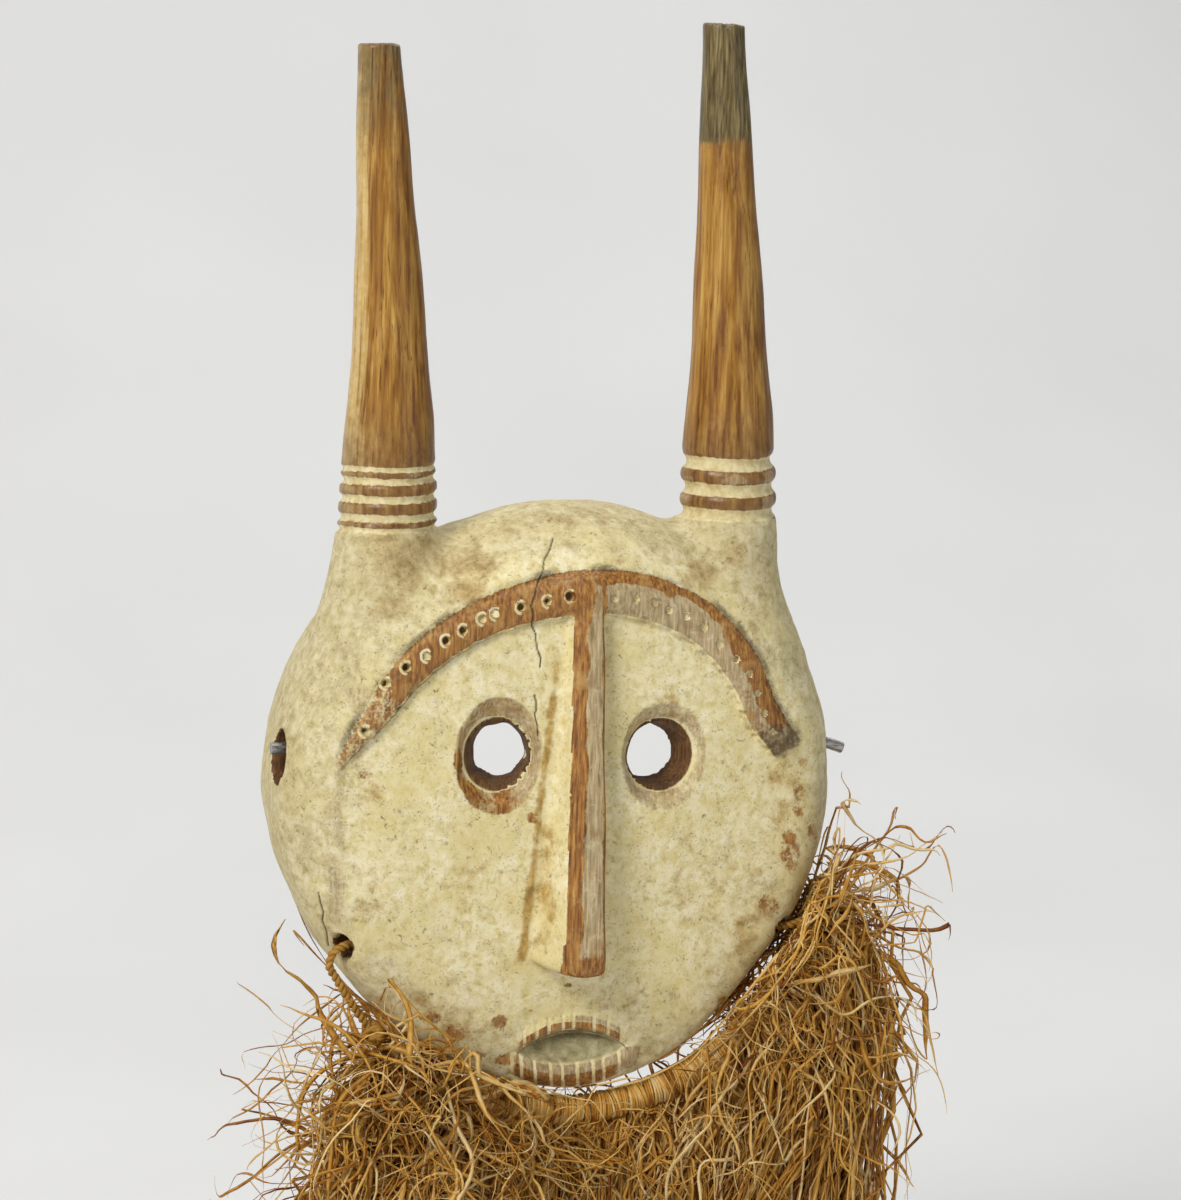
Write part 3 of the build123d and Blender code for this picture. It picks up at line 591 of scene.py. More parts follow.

# loose exposures, stains and grime on the face, and painted shade along its lower edge above the collar
for cu, cv, ru, rv, k in [(500, 1022, 9, 8, 1.0), (415, 1000, 14, 5, .7), (432, 1018, 12, 9, .75), (455, 1033, 16, 11, .8),
                          (470, 1052, 22, 9, .75), (505, 1060, 14, 7, .7), (445, 1048, 18, 8, .6), (485, 1040, 14, 10, .55),
                          (400, 985, 10, 4, .6), (530, 1014, 10, 5, .6), (640, 1058, 14, 7, .45), (690, 1010, 16, 6, .6),
                          (715, 985, 14, 7, .55), (705, 955, 5, 14, .45), (800, 800, 9, 22, .75), (790, 850, 12, 24, .8),
                          (806, 760, 8, 16, .6), (770, 905, 13, 18, .7), (745, 950, 14, 15, .65), (722, 1005, 16, 10, .7),
                          (812, 830, 6, 30, .8), (786, 780, 8, 14, .55), (350, 800, 6, 22, .35), (365, 775, 12, 9, .55),
                          (392, 790, 14, 6, .35), (535, 818, 9, 7, .95), (568, 985, 5, 2.5, .9), (463, 800, 6, 6, .6)]:
    brown = np.maximum(brown, seen * blob(cu, cv, ru, rv, .55) * k * (0.35 + 0.75 * n4))
for cu, cv, ru, rv, k in [(500, 1022, 9, 8, .8), (562, 1000, 9, 4, .5), (640, 1003, 14, 5, .6), (335, 860, 13, 95, .85),
                          (345, 940, 12, 30, .6), (332, 780, 12, 30, .7), (365, 700, 22, 16, .75), (395, 665, 22, 10, .7),
                          (430, 640, 20, 7, .35), (310, 800, 14, 22, .35), (748, 990, 10, 10, .4), (700, 790, 20, 10, .3),
                          (600, 1008, 22, 5, .5), (440, 1000, 8, 8, .4)]:
    grey = np.maximum(grey, seen * blob(cu, cv, ru, rv, .5) * k * (0.45 + 0.6 * n8))
for cu, cv, ru, rv, k in [(420, 560, 45, 30, .8), (470, 575, 34, 30, .7), (395, 600, 30, 24, .55), (385, 540, 26, 10, .75),
                          (700, 575, 20, 18, .6), (735, 560, 26, 22, .55), (760, 620, 14, 40, .35), (545, 880, 12, 90, .6),
                          (600, 1000, 60, 14, .3), (655, 700, 36, 8, .5), (470, 870, 26, 30, .35), (370, 790, 14, 30, .55),
                          (700, 880, 30, 40, .35), (365, 900, 16, 60, .35), (780, 800, 26, 50, .5), (750, 920, 20, 50, .55),
                          (430, 1020, 50, 26, .5), (650, 1062, 50, 14, .5), (555, 700, 8, 60, .4), (640, 600, 30, 6, .2),
                          (585, 520, 60, 10, .4), (520, 530, 30, 10, .4), (300, 720, 20, 60, .25), (600, 560, 40, 12, .35)]:
    stain = np.maximum(stain, seen * blob(cu, cv, ru, rv, .6) * k)
# grime patches, plus two long thin strips at (440, 1060) and (560, 1082) that are painted shade along the lower edge of
# the face, above the collar
for cu, cv, ru, rv, k in [(782, 738, 20, 22, .95), (500, 1024, 8, 7, .6), (292, 775, 9, 22, .5), (293, 805, 6, 24, .35),
                          (568, 986, 5, 2.4, .9), (545, 940, 7, 22, .35), (360, 745, 16, 12, .6), (385, 700, 14, 10, .5),
                          (760, 690, 8, 16, .55), (470, 520, 26, 6, .3), (728, 1000, 12, 20, .35), (440, 1060, 60, 8, .35),
                          (560, 1082, 60, 5, .3)]:
    grime_and_shade = np.maximum(grime_and_shade, seen * blob(cu, cv, ru, rv, .5) * k * (0.5 + 0.6 * n4))
crack = np.zeros(len(P))
for c in CRACKS:
    crack = np.maximum(crack, smooth(1.15, 0.3, poly_distance(u, v, c)) * seen)
grime_and_shade = np.maximum(grime_and_shade, 0)

# dot rims and fills, with painted shade inside the deep drilled dots and round the edge of the shallow ones
for dx, dz in DOTS:
    rd = np.hypot(x - dx, z - dz)
    if dx < 8:
        cream = np.maximum(cream, F_ * smooth(0.9, 0.4, np.abs(rd - 2.3)) * 0.75 * (z > 0) * smooth(-0.6, 0.4, (x - dx) * -0.7 + (z - dz) * 0.2 + 0.6))
        grime_and_shade = np.maximum(grime_and_shade, F_ * smooth(1.5, 1.0, rd))
    else:
        cream = np.maximum(cream, F_ * smooth(1.9, 1.2, rd) * 0.6)
        grime_and_shade = np.maximum(grime_and_shade, F_ * smooth(0.5, 0.15, np.abs(rd - 1.7)) * 0.55)

# horns
side = np.where(x < 0, -1, 1)
hz0 = np.where(x < 0, 96.5, 98.0)
on_horn = ((z > 88) & (np.abs(x) > 44)).astype(float)
horn = on_horn * smooth(-1.2, 1.2, z - hz0)
ring_cream = np.zeros(len(P))
for grooves, sd_ in ((LEFT_GROOVES, -1), (RIGHT_GROOVES, 1)):
    tab = LEFT_HORN if sd_ < 0 else RIGHT_HORN
    th = np.arctan2(y + 50.0, x - np.interp(z, tab[:, 0], tab[:, 1]))
    wob = 0.9 * np.sin(th + (2.0 if sd_ < 0 else 1.0)) + 0.5 * np.sin(2 * th + 0.7)
    for gz, gd, gw in grooves:
        ring_cream = np.maximum(ring_cream, (side == sd_) * smooth(1.25, 0.75, np.abs(z - gz - wob) / gw))
cream = np.maximum(cream, ring_cream * on_horn * np.where(side > 0, 0.85, 0.8))
olive = on_horn * np.where(x > 0, smooth(240, 247, z + 5 * (n8 - .5)), 0.5 * smooth(236, 270, z))
ringzone = on_horn * smooth(hz0 - 2, hz0, z) * smooth(hz0 + 25, hz0 + 22, z)
grey = np.maximum(grey, ringzone * smooth(0.55, 0.75, n8) * 0.8 * (1 - ring_cream))

# hollow, back rim and the inside of the holes: bare darkened wood
d = -y
rr = np.hypot(x, z + 8)
r0 = np.interp(np.arctan2(z + 8, x), PHI, RAD)
bare = ((rr < r0 - np.interp(d, HDEPTH, HINS) + 1.6) & (d < 65.5)).astype(float)
bare = np.maximum(bare, smooth(4.5, 0.5, d + 3 * (n8 - .5)) * 0.9)
bare = np.maximum(bare, tunnel)
for sx, hz_ in ((-1, 8.0), (1, 6.5)):
    q = (np.hypot((y + 50.0) / 7.5, (z - hz_) / 10.5) < 1.05) & (x * sx > 60)
    bare = np.maximum(bare, q.astype(float))
for sx in (-1, 1):
    m_ = np.array([sx * 88.7, -66.5, -62.5]); q_ = np.array([sx * 62.0, -47.5, -61.0])
    dv = (q_ - m_) / np.linalg.norm(q_ - m_)
    w_ = P - m_
    t_ = w_ @ dv
    dist = np.linalg.norm(w_ - t_[:, None] * dv, axis=1)
    bare = np.maximum(bare, ((dist < 5.4) & (t_ > -0.5 + (dist > 4.6) * 3) & (t_ < 40)).astype(float) * (F_ * 0 + 1) * (dist < 5.4))

# crust relief in the mesh itself
kao = np.clip(1 - np.maximum.reduce([brown, grey * 0.8, horn, bare, on_crest]), 0, 1)
relief = 0.34 * (n4 - 0.5) * kao + 0.5 * (n8 - 0.5) * kao
relief += 0.16 * (noise3(x, y, z, 1.6) - 0.5) * kao
relief -= 0.75 * crack
grain = noise3(x * 1.0, y * 1.0, z * 0.12, 1.3) - 0.5
relief += 0.22 * grain * np.maximum(horn, brown * 0.8)
relief -= 0.35 * (brown > 0.5) * kao * F_ * smooth(0.2, 0.6, n4)
relief += 0.25 * cream * F_ * (z > -70)
P2 = P + NRM * relief[:, None]
P2[:, 1] = np.minimum(P2[:, 1], 0.0)
for vtx, p in zip(bm.verts, P2 * 0.001):
    vtx.co = p
for f in bm.faces:
    f.smooth = True
bm.to_mesh(mesh)
bm.free()
# per-vertex darkening: grime patches together with painted shade in grooves, creases, the mouth, eye edges, drilled
# dots and along the lower rim
for name, arr in (("brown", brown), ("grey", grey), ("grime_and_shade", grime_and_shade), ("stain", stain), ("cream", cream),
                  ("horn", horn), ("olive", olive), ("bare", bare), ("mouthin", mouth_in), ("crack", crack),
                  ("worn", crest_left * 0 + on_crest)):
    at = mesh.attributes.new(name, "FLOAT", "POINT")
    at.data.foreach_set("value", np.clip(arr, 0, 1.4).astype(np.float32))
mesh.update()
mask = bpy.data.objects.new("carved_mask", mesh)
bpy.context.scene.collection.objects.link(mask)
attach(mask, "head")
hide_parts("mask_body")


# ------------------------------------------------------------------ material helpers
def lin(hexcol):
    h = hexcol.lstrip("#")
    out = []
    for i in (0, 2, 4):
        c = int(h[i:i + 2], 16) / 255.0
        out.append(c / 12.92 if c <= 0.04045 else ((c + 0.055) / 1.055) ** 2.4)
    return (out[0], out[1], out[2], 1.0)


class Nodes:
    def __init__(self, name):
        self.mat = bpy.data.materials.new(name)
        self.mat.use_nodes = True
        self.t = self.mat.node_tree
        self.bsdf = self.t.nodes["Principled BSDF"]
        self.out = self.t.nodes["Material Output"]
        self.co = self.t.nodes.new("ShaderNodeTexCoord").outputs["Object"]

    def link(self, a, b):
        if isinstance(a, (int, float)):
            b.default_value = a
        elif isinstance(a, tuple):
            b.default_value = a
        else:
            self.t.links.new(a, b)

    def attr(self, name):
        n = self.t.nodes.new("ShaderNodeAttribute")
        n.attribute_name = name
        return n.outputs["Fac"]

    def scaled(self, sx, sy, sz):
        n = self.t.nodes.new("ShaderNodeMapping")
        self.link(self.co, n.inputs["Vector"])
        n.inputs["Scale"].default_value = (sx, sy, sz)
        return n.outputs["Vector"]

    def noise(self, scale, detail=4, rough=0.55, vec=None, distort=0.0):
        n = self.t.nodes.new("ShaderNodeTexNoise")
        self.link(vec if vec is not None else self.co, n.inputs["Vector"])
        n.inputs["Scale"].default_value = scale
        n.inputs["Detail"].default_value = detail
        n.inputs["Roughness"].default_value = rough
        n.inputs["Distortion"].default_value = distort
        return n.outputs["Fac"]

    def voronoi(self, scale, vec=None):
        n = self.t.nodes.new("ShaderNodeTexVoronoi")
        self.link(vec if vec is not None else self.co, n.inputs["Vector"])
        n.inputs["Scale"].default_value = scale
        return n.outputs["Distance"]

    def math(self, op, a, b=0.0, clamp=False):
        n = self.t.nodes.new("ShaderNodeMath")
        n.operation = op
        n.use_clamp = clamp
        self.link(a, n.inputs[0])
        self.link(b, n.inputs[1])
        return n.outputs[0]

    def range(self, v, a, b, c=0.0, d=1.0):
        n = self.t.nodes.new("ShaderNodeMapRange")
        n.interpolation_type = "SMOOTHSTEP"
        self.link(v, n.inputs["Value"])
        n.inputs["From Min"].default_value = a
        n.inputs["From Max"].default_value = b
        n.inputs["To Min"].default_value = c
        n.inputs["To Max"].default_value = d
        return n.outputs["Result"]

    def mix(self, fac, a, b, mode="MIX"):
        n = self.t.nodes.new("ShaderNodeMix")
        n.data_type = "RGBA"
        n.blend_type = mode
        self.link(fac, n.inputs[0])
        self.link(a, n.inputs[6])
        self.link(b, n.inputs[7])
        return n.outputs[2]

    def ramp(self, fac, stops):
        n = self.t.nodes.new("ShaderNodeValToRGB")
        self.link(fac, n.inputs["Fac"])
        r = n.color_ramp
        while len(r.elements) < len(stops):
            r.elements.new(0.5)
        for e, (p, c) in zip(r.elements, stops):
            e.position = p
            e.color = lin(c)
        return n.outputs["Color"]

    def bump(self, height, strength, distance, normal=None):
        n = self.t.nodes.new("ShaderNodeBump")
        n.inputs["Strength"].default_value = strength
        n.inputs["Distance"].default_value = distance
        self.link(height, n.inputs["Height"])
        if normal is not None:
            self.t.links.new(normal, n.inputs["Normal"])
        return n.outputs["Normal"]

    def finish(self, color, rough, normal=None, spec=0.4):
        self.link(color, self.bsdf.inputs["Base Color"])
        self.link(rough, self.bsdf.inputs["Roughness"])
        self.bsdf.inputs["Specular IOR Level"].default_value = spec
        if normal is not None:
            self.t.links.new(normal, self.bsdf.inputs["Normal"])
        return self.mat


def attr_mask(m, name, nz, spread=0.5, lo=0.42, hi=0.58):
    """The attribute's patch with its edge broken up by noise."""
    a = m.attr(name)
    a = m.math("ADD", a, m.math("MULTIPLY", m.math("SUBTRACT", nz, 0.5), spread))
    return m.range(a, lo, hi)


def carved_wood():
    m = Nodes("carved_wood_kaolin")
    fine = m.noise(900, 5, 0.7)
    mid = m.noise(260, 6, 0.65, distort=0.4)
    big = m.noise(38, 5, 0.6)
    blot = m.noise(95, 5, 0.62, distort=0.3)
    edge = m.math("ADD", m.math("MULTIPLY", m.noise(520, 5, 0.75), 0.6), m.math("MULTIPLY", m.noise(150, 4, 0.6), 0.4))
    grain = m.noise(70, 5, 0.6, vec=m.scaled(14, 14, 0.9), distort=0.2)
    grain2 = m.noise(44, 5, 0.6, vec=m.scaled(9, 9, 0.28), distort=0.15)
    # white clay
    kaolin = m.ramp(mid, [(0.26, "#bfa868"), (0.40, "#dccd96"), (0.54, "#ece1b6"), (0.74, "#f4edd2")])
    kaolin = m.mix(m.range(big, 0.42, 0.62, 0, 0.6), kaolin, lin("#dccb8a"))
    kaolin = m.mix(m.range(blot, 0.54, 0.70, 0, 0.6), kaolin, lin("#c9bd92"))
    st = m.math("ADD", m.attr("stain"), m.math("MULTIPLY", m.math("SUBTRACT", blot, 0.5), 2.2))
    kaolin = m.mix(m.range(st, 0.22, 0.95, 0, 0.88), kaolin, m.ramp(mid, [(0.3, "#7d5a1e"), (0.5, "#b08a3c"), (0.7, "#cfb062")]))
    # older, greyer clay on the turned-away rim and the forehead
    at_sep = m.t.nodes.new("ShaderNodeSeparateXYZ")
    m.link(m.co, at_sep.inputs[0])
    zc = m.math("ADD", at_sep.outputs[2], 0.008)
    rad = m.math("SQRT", m.math("ADD", m.math("MULTIPLY", at_sep.outputs[0], at_sep.outputs[0]), m.math("MULTIPLY", zc, zc)))
    rad = m.math("ADD", rad, m.math("MULTIPLY", m.math("SUBTRACT", blot, 0.5), 0.05))
    kaolin = m.mix(m.range(rad, 0.083, 0.112, 0, 0.62), kaolin, m.ramp(mid, [(0.3, "#8d7c52"), (0.5, "#b5a67d"), (0.7, "#cdc09a")]))
    speck = m.range(m.noise(950, 4, 0.65), 0.57, 0.66)
    speck = m.math("MULTIPLY", speck, m.range(blot, 0.40, 0.62, 0.15, 0.85))
    kaolin = m.mix(m.math("MULTIPLY", speck, 0.75), kaolin, lin("#75602f"))
    pit = m.range(m.noise(420, 5, 0.75, distort=0.6), 0.59, 0.68)
    kaolin = m.mix(m.math("MULTIPLY", pit, m.range(big, 0.40, 0.60, 0.25, 0.8)), kaolin, lin("#7c683b"))
    # bare brown wood
    wood = m.ramp(grain, [(0.26, "#43240c"), (0.40, "#784717"), (0.52, "#9d6827"), (0.66, "#ba8a43"), (0.82, "#d4b172")])
    wood = m.mix(m.range(mid, 0.50, 0.68, 0, 0.6), wood, lin("#683a14"))
    wood = m.mix(m.range(blot, 0.50, 0.66, 0, 0.45), wood, lin("#cba766"))
    # worn grey wood
    worn = m.ramp(grain, [(0.28, "#6c5438"), (0.43, "#9a825d"), (0.58, "#bca681"), (0.75, "#d5c5a0")])
    worn = m.mix(m.range(blot, 0.52, 0.70, 0, 0.55), worn, lin("#8a6234"))
    worn = m.mix(m.range(mid, 0.56, 0.70, 0, 0.5), worn, lin("#d9cca2"))
    # horns
    hn = m.ramp(grain2, [(0.18, "#3c200a"), (0.34, "#6e4214"), (0.48, "#996a26"), (0.62, "#ba8f45"), (0.80, "#d9b873")])
    hn = m.mix(m.range(grain, 0.30, 0.44, 0.75, 0.0), hn, lin("#4f2c0f"))
    sep = m.t.nodes.new("ShaderNodeSeparateXYZ")
    m.link(m.co, sep.inputs[0])
    geo = m.t.nodes.new("ShaderNodeNewGeometry")
    nsep = m.t.nodes.new("ShaderNodeSeparateXYZ")
    m.link(geo.outputs["Normal"], nsep.inputs[0])
    # painted light: on the left horn the surfaces facing left, towards the key lamp, are painted paler as highlight,
    # and on both horns the sides facing right are painted darker as shade
    painted_lit_side = m.range(m.math("ADD", m.math("MULTIPLY", nsep.outputs[0], -1.0), m.math("MULTIPLY", m.math("SUBTRACT", grain2, 0.5), 0.9)), 0.58, 0.98)
    leftside = m.range(sep.outputs[0], 0.0, -0.01)
    hn = m.mix(m.math("MULTIPLY", painted_lit_side, m.math("MULTIPLY", leftside, 0.8)), hn, m.ramp(mid, [(0.35, "#c7a45c"), (0.6, "#dcc48a")]))
    painted_shade_side = m.range(m.math("ADD", nsep.outputs[0], m.math("MULTIPLY", m.math("SUBTRACT", big, 0.5), 1.2)), 0.35, 0.9, 0, 0.55)
    hn = m.mix(painted_shade_side, hn, lin("#5a3010"))
    tip = m.range(m.math("ADD", sep.outputs[2], m.math("MULTIPLY", m.math("SUBTRACT", blot, 0.5), 0.09)), 0.225, 0.275, 0, 0.6)
    hn = m.mix(tip, hn, m.ramp(grain, [(0.35, "#3a2a18"), (0.6, "#7b5c35")]))
    low = m.range(sep.outputs[2], 0.150, 0.118, 0, 0.55)
    hn = m.mix(low, hn, m.ramp(mid, [(0.4, "#4e3522"), (0.6, "#7d5c3a")]))
    olive = m.ramp(grain, [(0.3, "#2b2415"), (0.5, "#675836"), (0.7, "#968455")])
    # bare dark inside
    bare = m.ramp(grain, [(0.3, "#3a2413"), (0.5, "#63421f"), (0.7, "#86602f")])
    bare = m.mix(m.range(blot, 0.5, 0.7, 0, 0.6), bare, lin("#2a190d"))
    # compose
    k_grey = attr_mask(m, "grey", edge, 1.9, 0.30, 0.80)
    k_brown = attr_mask(m, "brown", edge, 1.9, 0.34, 0.66)
    k_grime_and_shade = attr_mask(m, "grime_and_shade", edge, 1.6, 0.30, 0.95)
    k_horn = attr_mask(m, "horn", edge, 1.2, 0.40, 0.60)
    k_cream = attr_mask(m, "cream", edge, 1.5, 0.36, 0.66)
    k_olive = attr_mask(m, "olive", m.math("ADD", m.math("MULTIPLY", grain, 0.6), m.math("MULTIPLY", blot, 0.4)), 2.6, 0.25, 0.8)
    k_bare = attr_mask(m, "bare", edge, 0.3, 0.4, 0.6)
    k_mouth = m.attr("mouthin")
    c = m.mix(m.math("MULTIPLY", k_grey, 0.86), kaolin, worn)
    c = m.mix(m.math("MULTIPLY", k_brown, 0.96), c, wood)
    c = m.mix(k_horn, c, m.mix(k_olive, hn, olive))
    hg = m.math("MULTIPLY", k_horn, k_grey)
    c = m.mix(m.math("MULTIPLY", hg, 0.7), c, worn)
    c = m.mix(m.math("MULTIPLY", k_mouth, 0.85), c, m.ramp(mid, [(0.3, "#6d6440"), (0.5, "#9a9168"), (0.7, "#b9b391")]))
    # darkening: grime, and painted shade in grooves, creases, the mouth, eye edges, drilled dots and along the lower
    # rim
    c = m.mix(m.math("MULTIPLY", k_grime_and_shade, 0.78), c, m.ramp(blot, [(0.35, "#2c2113"), (0.6, "#594527")]))
    c = m.mix(m.math("MULTIPLY", k_cream, 0.9), c, m.ramp(mid, [(0.35, "#cdb981"), (0.6, "#e9deb2")]))
    c = m.mix(k_bare, c, bare)
    c = m.mix(m.math("MULTIPLY", m.attr("crack"), 0.95), c, lin("#2a1a0a"))
    # roughness
    r = m.range(mid, 0.3, 0.7, 0.62, 0.88)
    polish = m.math("MAXIMUM", m.math("MULTIPLY", k_horn, 0.9), m.math("MAXIMUM", m.math("MULTIPLY", k_grey, 0.45), m.math("MULTIPLY", k_brown, 0.6)))
    polish = m.math("MULTIPLY", polish, m.math("SUBTRACT", 1.0, m.math("MULTIPLY", k_cream, 0.9)))
    mixr = m.t.nodes.new("ShaderNodeMix")
    m.link(polish, mixr.inputs[0]); m.link(r, mixr.inputs[2])
    m.link(m.range(grain, 0.3, 0.7, 0.24, 0.42), mixr.inputs[3])
    rough = mixr.outputs[0]
    # bump
    nk = m.math("SUBTRACT", 1.0, polish, clamp=True)
    hgt = m.math("ADD", m.math("MULTIPLY", fine, 0.45), m.math("MULTIPLY", mid, 0.9))
    hgt = m.math("SUBTRACT", hgt, m.math("MULTIPLY", pit, 0.5))
    hgt = m.math("MULTIPLY", hgt, m.math("ADD", m.math("MULTIPLY", nk, 0.9), 0.1))
    hgt = m.math("ADD", hgt, m.math("MULTIPLY", grain, m.math("MULTIPLY", polish, 0.55)))
    nb = m.bump(hgt, 0.55, 0.0006)
    return m.finish(c, rough, nb, 0.42)


mask.data.materials.append(carved_wood())


# ------------------------------------------------------------------ tubes and twisted cords
def catmull(pts, n):
    pts = np.array(pts, float)
    d = np.concatenate([[0], np.cumsum(np.linalg.norm(np.diff(pts, axis=0), axis=1))])
    q = np.linspace(0, d[-1], n)
    return np.stack([hermite(d, pts[:, i], q) for i in range(3)], 1)


def frames(path):
    t = np.gradient(path, axis=0)
    t /= np.maximum(np.linalg.norm(t, axis=1), 1e-9)[:, None]
    up = np.array([0.0, 1.0, 0.0])
    if abs(t[0] @ up) > 0.9:
        up = np.array([0.0, 0.0, 1.0])
    n = up - (t[0] @ up) * t[0]
    n /= np.linalg.norm(n)
    ns = [n]
    for i in range(1, len(path)):
        n = ns[-1] - (ns[-1] @ t[i]) * t[i]
        n /= max(np.linalg.norm(n), 1e-9)
        ns.append(n)
    ns = np.array(ns)
    return t, ns, np.cross(t, ns)


class Builder:
    def __init__(self):
        self.v, self.f, self.n = [], [], 0
        self.rnd, self.along = [], []

    def tube(self, path, radius, sides=8, rnd=0.5, flat=1.0, turn=0.0):
        t, a, b = frames(path)
        m = len(path)
        radius = np.broadcast_to(np.asarray(radius, float), (m,))
        turn = np.broadcast_to(np.asarray(turn, float), (m,))
        ang = np.linspace(0, 2 * np.pi, sides, endpoint=False)
        ca, sa = np.cos(ang), np.sin(ang) * flat
        c, s_ = np.cos(turn)[:, None], np.sin(turn)[:, None]
        oa = ca[None] * c - sa[None] * s_
        ob = ca[None] * s_ + sa[None] * c
        ring = path[:, None] + radius[:, None, None] * (oa[:, :, None] * a[:, None] + ob[:, :, None] * b[:, None])
        self.v.append(ring.reshape(-1, 3))
        i, j = np.meshgrid(np.arange(m - 1), np.arange(sides), indexing="ij")
        j2 = (j + 1) % sides
        q = np.stack([i * sides + j, i * sides + j2, (i + 1) * sides + j2, (i + 1) * sides + j], -1).reshape(-1, 4) + self.n
        self.f.extend(q.tolist())
        self.f.append([self.n + k for k in range(sides)][::-1])
        self.f.append([self.n + (m - 1) * sides + k for k in range(sides)])
        self.rnd.append(np.full(m * sides, rnd))
        self.along.append(np.repeat(np.linspace(0, 1, m), sides))
        self.n += m * sides

    def twist(self, path, r_strand, r_turn, pitch, plies=2, sides=7, rnd=0.5):
        t, a, b = frames(path)
        d = np.concatenate([[0], np.cumsum(np.linalg.norm(np.diff(path, axis=0), axis=1))])
        for k in range(plies):
            th = 2 * np.pi * (d / pitch + k / plies)
            p = path + r_turn * (np.cos(th)[:, None] * a + np.sin(th)[:, None] * b)
            self.tube(p, r_strand, sides, rnd + 0.1 * k)

    def make(self, name, body, material, slot, replaces=()):
        V = np.concatenate(self.v) * 0.001
        me = bpy.data.meshes.new(name)
        me.from_pydata(V.tolist(), [], self.f)
        at = me.attributes.new("rnd", "FLOAT", "POINT")
        at.data.foreach_set("value", np.concatenate(self.rnd).astype(np.float32))
        at = me.attributes.new("along", "FLOAT", "POINT")
        at.data.foreach_set("value", np.concatenate(self.along).astype(np.float32))
        for p in me.polygons:
            p.use_smooth = True
        me.update()
        o = bpy.data.objects.new(name, me)
        bpy.context.scene.collection.objects.link(o)
        me.materials.append(material)
        if body:
            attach(o, body)
        if replaces:
            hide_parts(*replaces)
        return o


def fibre(name, dark_c, mid_c, light_c, pale_c):
    m = Nodes(name)
    rnd = m.attr("rnd")
    g = m.noise(240, 4, 0.6, distort=0.3)
    fine = m.noise(1700, 3, 0.6)
    k = m.math("ADD", m.math("MULTIPLY", rnd, 0.75), m.math("MULTIPLY", m.math("SUBTRACT", g, 0.5), 0.7), clamp=True)
    c = m.ramp(k, [(0.03, dark_c), (0.22, mid_c), (0.48, light_c), (0.80, pale_c)])
    c = m.mix(m.range(fine, 0.55, 0.72, 0, 0.35), c, lin(dark_c))
    nb = m.bump(m.math("ADD", fine, g), 0.35, 0.0003)
    m.finish(c, m.range(g, 0.3, 0.7, 0.42, 0.7), nb, 0.45)
    tr = m.t.nodes.new("ShaderNodeBsdfTranslucent")
    m.link(c, tr.inputs["Color"])
    mx = m.t.nodes.new("ShaderNodeMixShader")
    mx.inputs[0].default_value = 0.28
    m.t.links.new(m.bsdf.outputs[0], mx.inputs[1])
    m.t.links.new(tr.outputs[0], mx.inputs[2])
    m.t.links.new(mx.outputs[0], m.out.inputs["Surface"])
    return m.mat


RAFFIA = fibre("raffia", "#8a4a12", "#cf9232", "#eebe5c", "#fde7ae")
WRAP = fibre("raffia_wrapping", "#7a4416", "#c18a3e", "#dfb469", "#f1d8a2")
CORD = fibre("fibre_cord", "#6a3a10", "#b07c2b", "#d6a94f", "#e8c980")

CORD_MOUTH = np.array([88.7, -66.5, -62.5])
CORD_INNER = np.array([62.0, -47.5, -61.0])
LEFT_TIE = np.array([-74.6, -62.0, -98.8])
RIGHT_TIE = np.array([104.0, -60.5, -57.6])
COLLAR = [(-71.0, -103.6), (-68.4, -106.8), (-47.8, -119.8), (-23.4, -128.2), (5.5, -133.4),
          (34.6, -129.0), (60.0, -118.2), (79.0, -102.0), (94.2, -79.0), (101.6, -63.4)]
COLLAR_P = catmull([(a_, -60.0, b_) for a_, b_ in COLLAR], 400)


def collar_at(t):
    k = np.clip(np.asarray(t, float), 0, 1) * 399
    i = np.clip(np.floor(k).astype(int), 0, 398)
    fr = (k - i)[..., None]
    p = COLLAR_P[i] * (1 - fr) + COLLAR_P[i + 1] * fr
    tg = COLLAR_P[np.clip(i + 3, 0, 399)] - COLLAR_P[np.clip(i - 3, 0, 399)]
    tg = tg / np.linalg.norm(tg, axis=-1, keepdims=True)
    out = np.stack([tg[..., 2], np.zeros_like(tg[..., 0]), -tg[..., 0]], -1)
    out = np.where(out[..., 2:3] > 0, -out, out)
    return p, tg, out


def knot(b, centre, r, cord_r, rng, turns=9, rnd=0.5):
    """A wrapped ball of cord: turns laid over each other at changing angles."""
    t = np.linspace(0, 1, turns * 22)
    th = 2 * np.pi * turns * t
    tilt = 2 * np.pi * 1.37 * t
    rr = r - cord_r * 0.9 + 0.35 * np.sin(th * 0.5)
    p = np.stack([np.cos(th), np.sin(th) * np.cos(tilt), np.sin(th) * np.sin(tilt)], 1) * rr[:, None]
    p[:, 0] *= 0.92
    b.tube(p + centre, cord_r, 6, rnd)
    # solid heart, so that no gap shows between the turns; its darker fibre colour is painted shade between the turns
    a = np.linspace(0.06, np.pi - 0.06, 12)
    core = np.stack([np.zeros(12), np.zeros(12), np.cos(a)], 1) * (r - cord_r * 1.5)
    b.tube(core + centre, np.sin(a) * (r - cord_r * 1.5) + 0.05, 12, 0.15)


rng = np.random.RandomState(11)
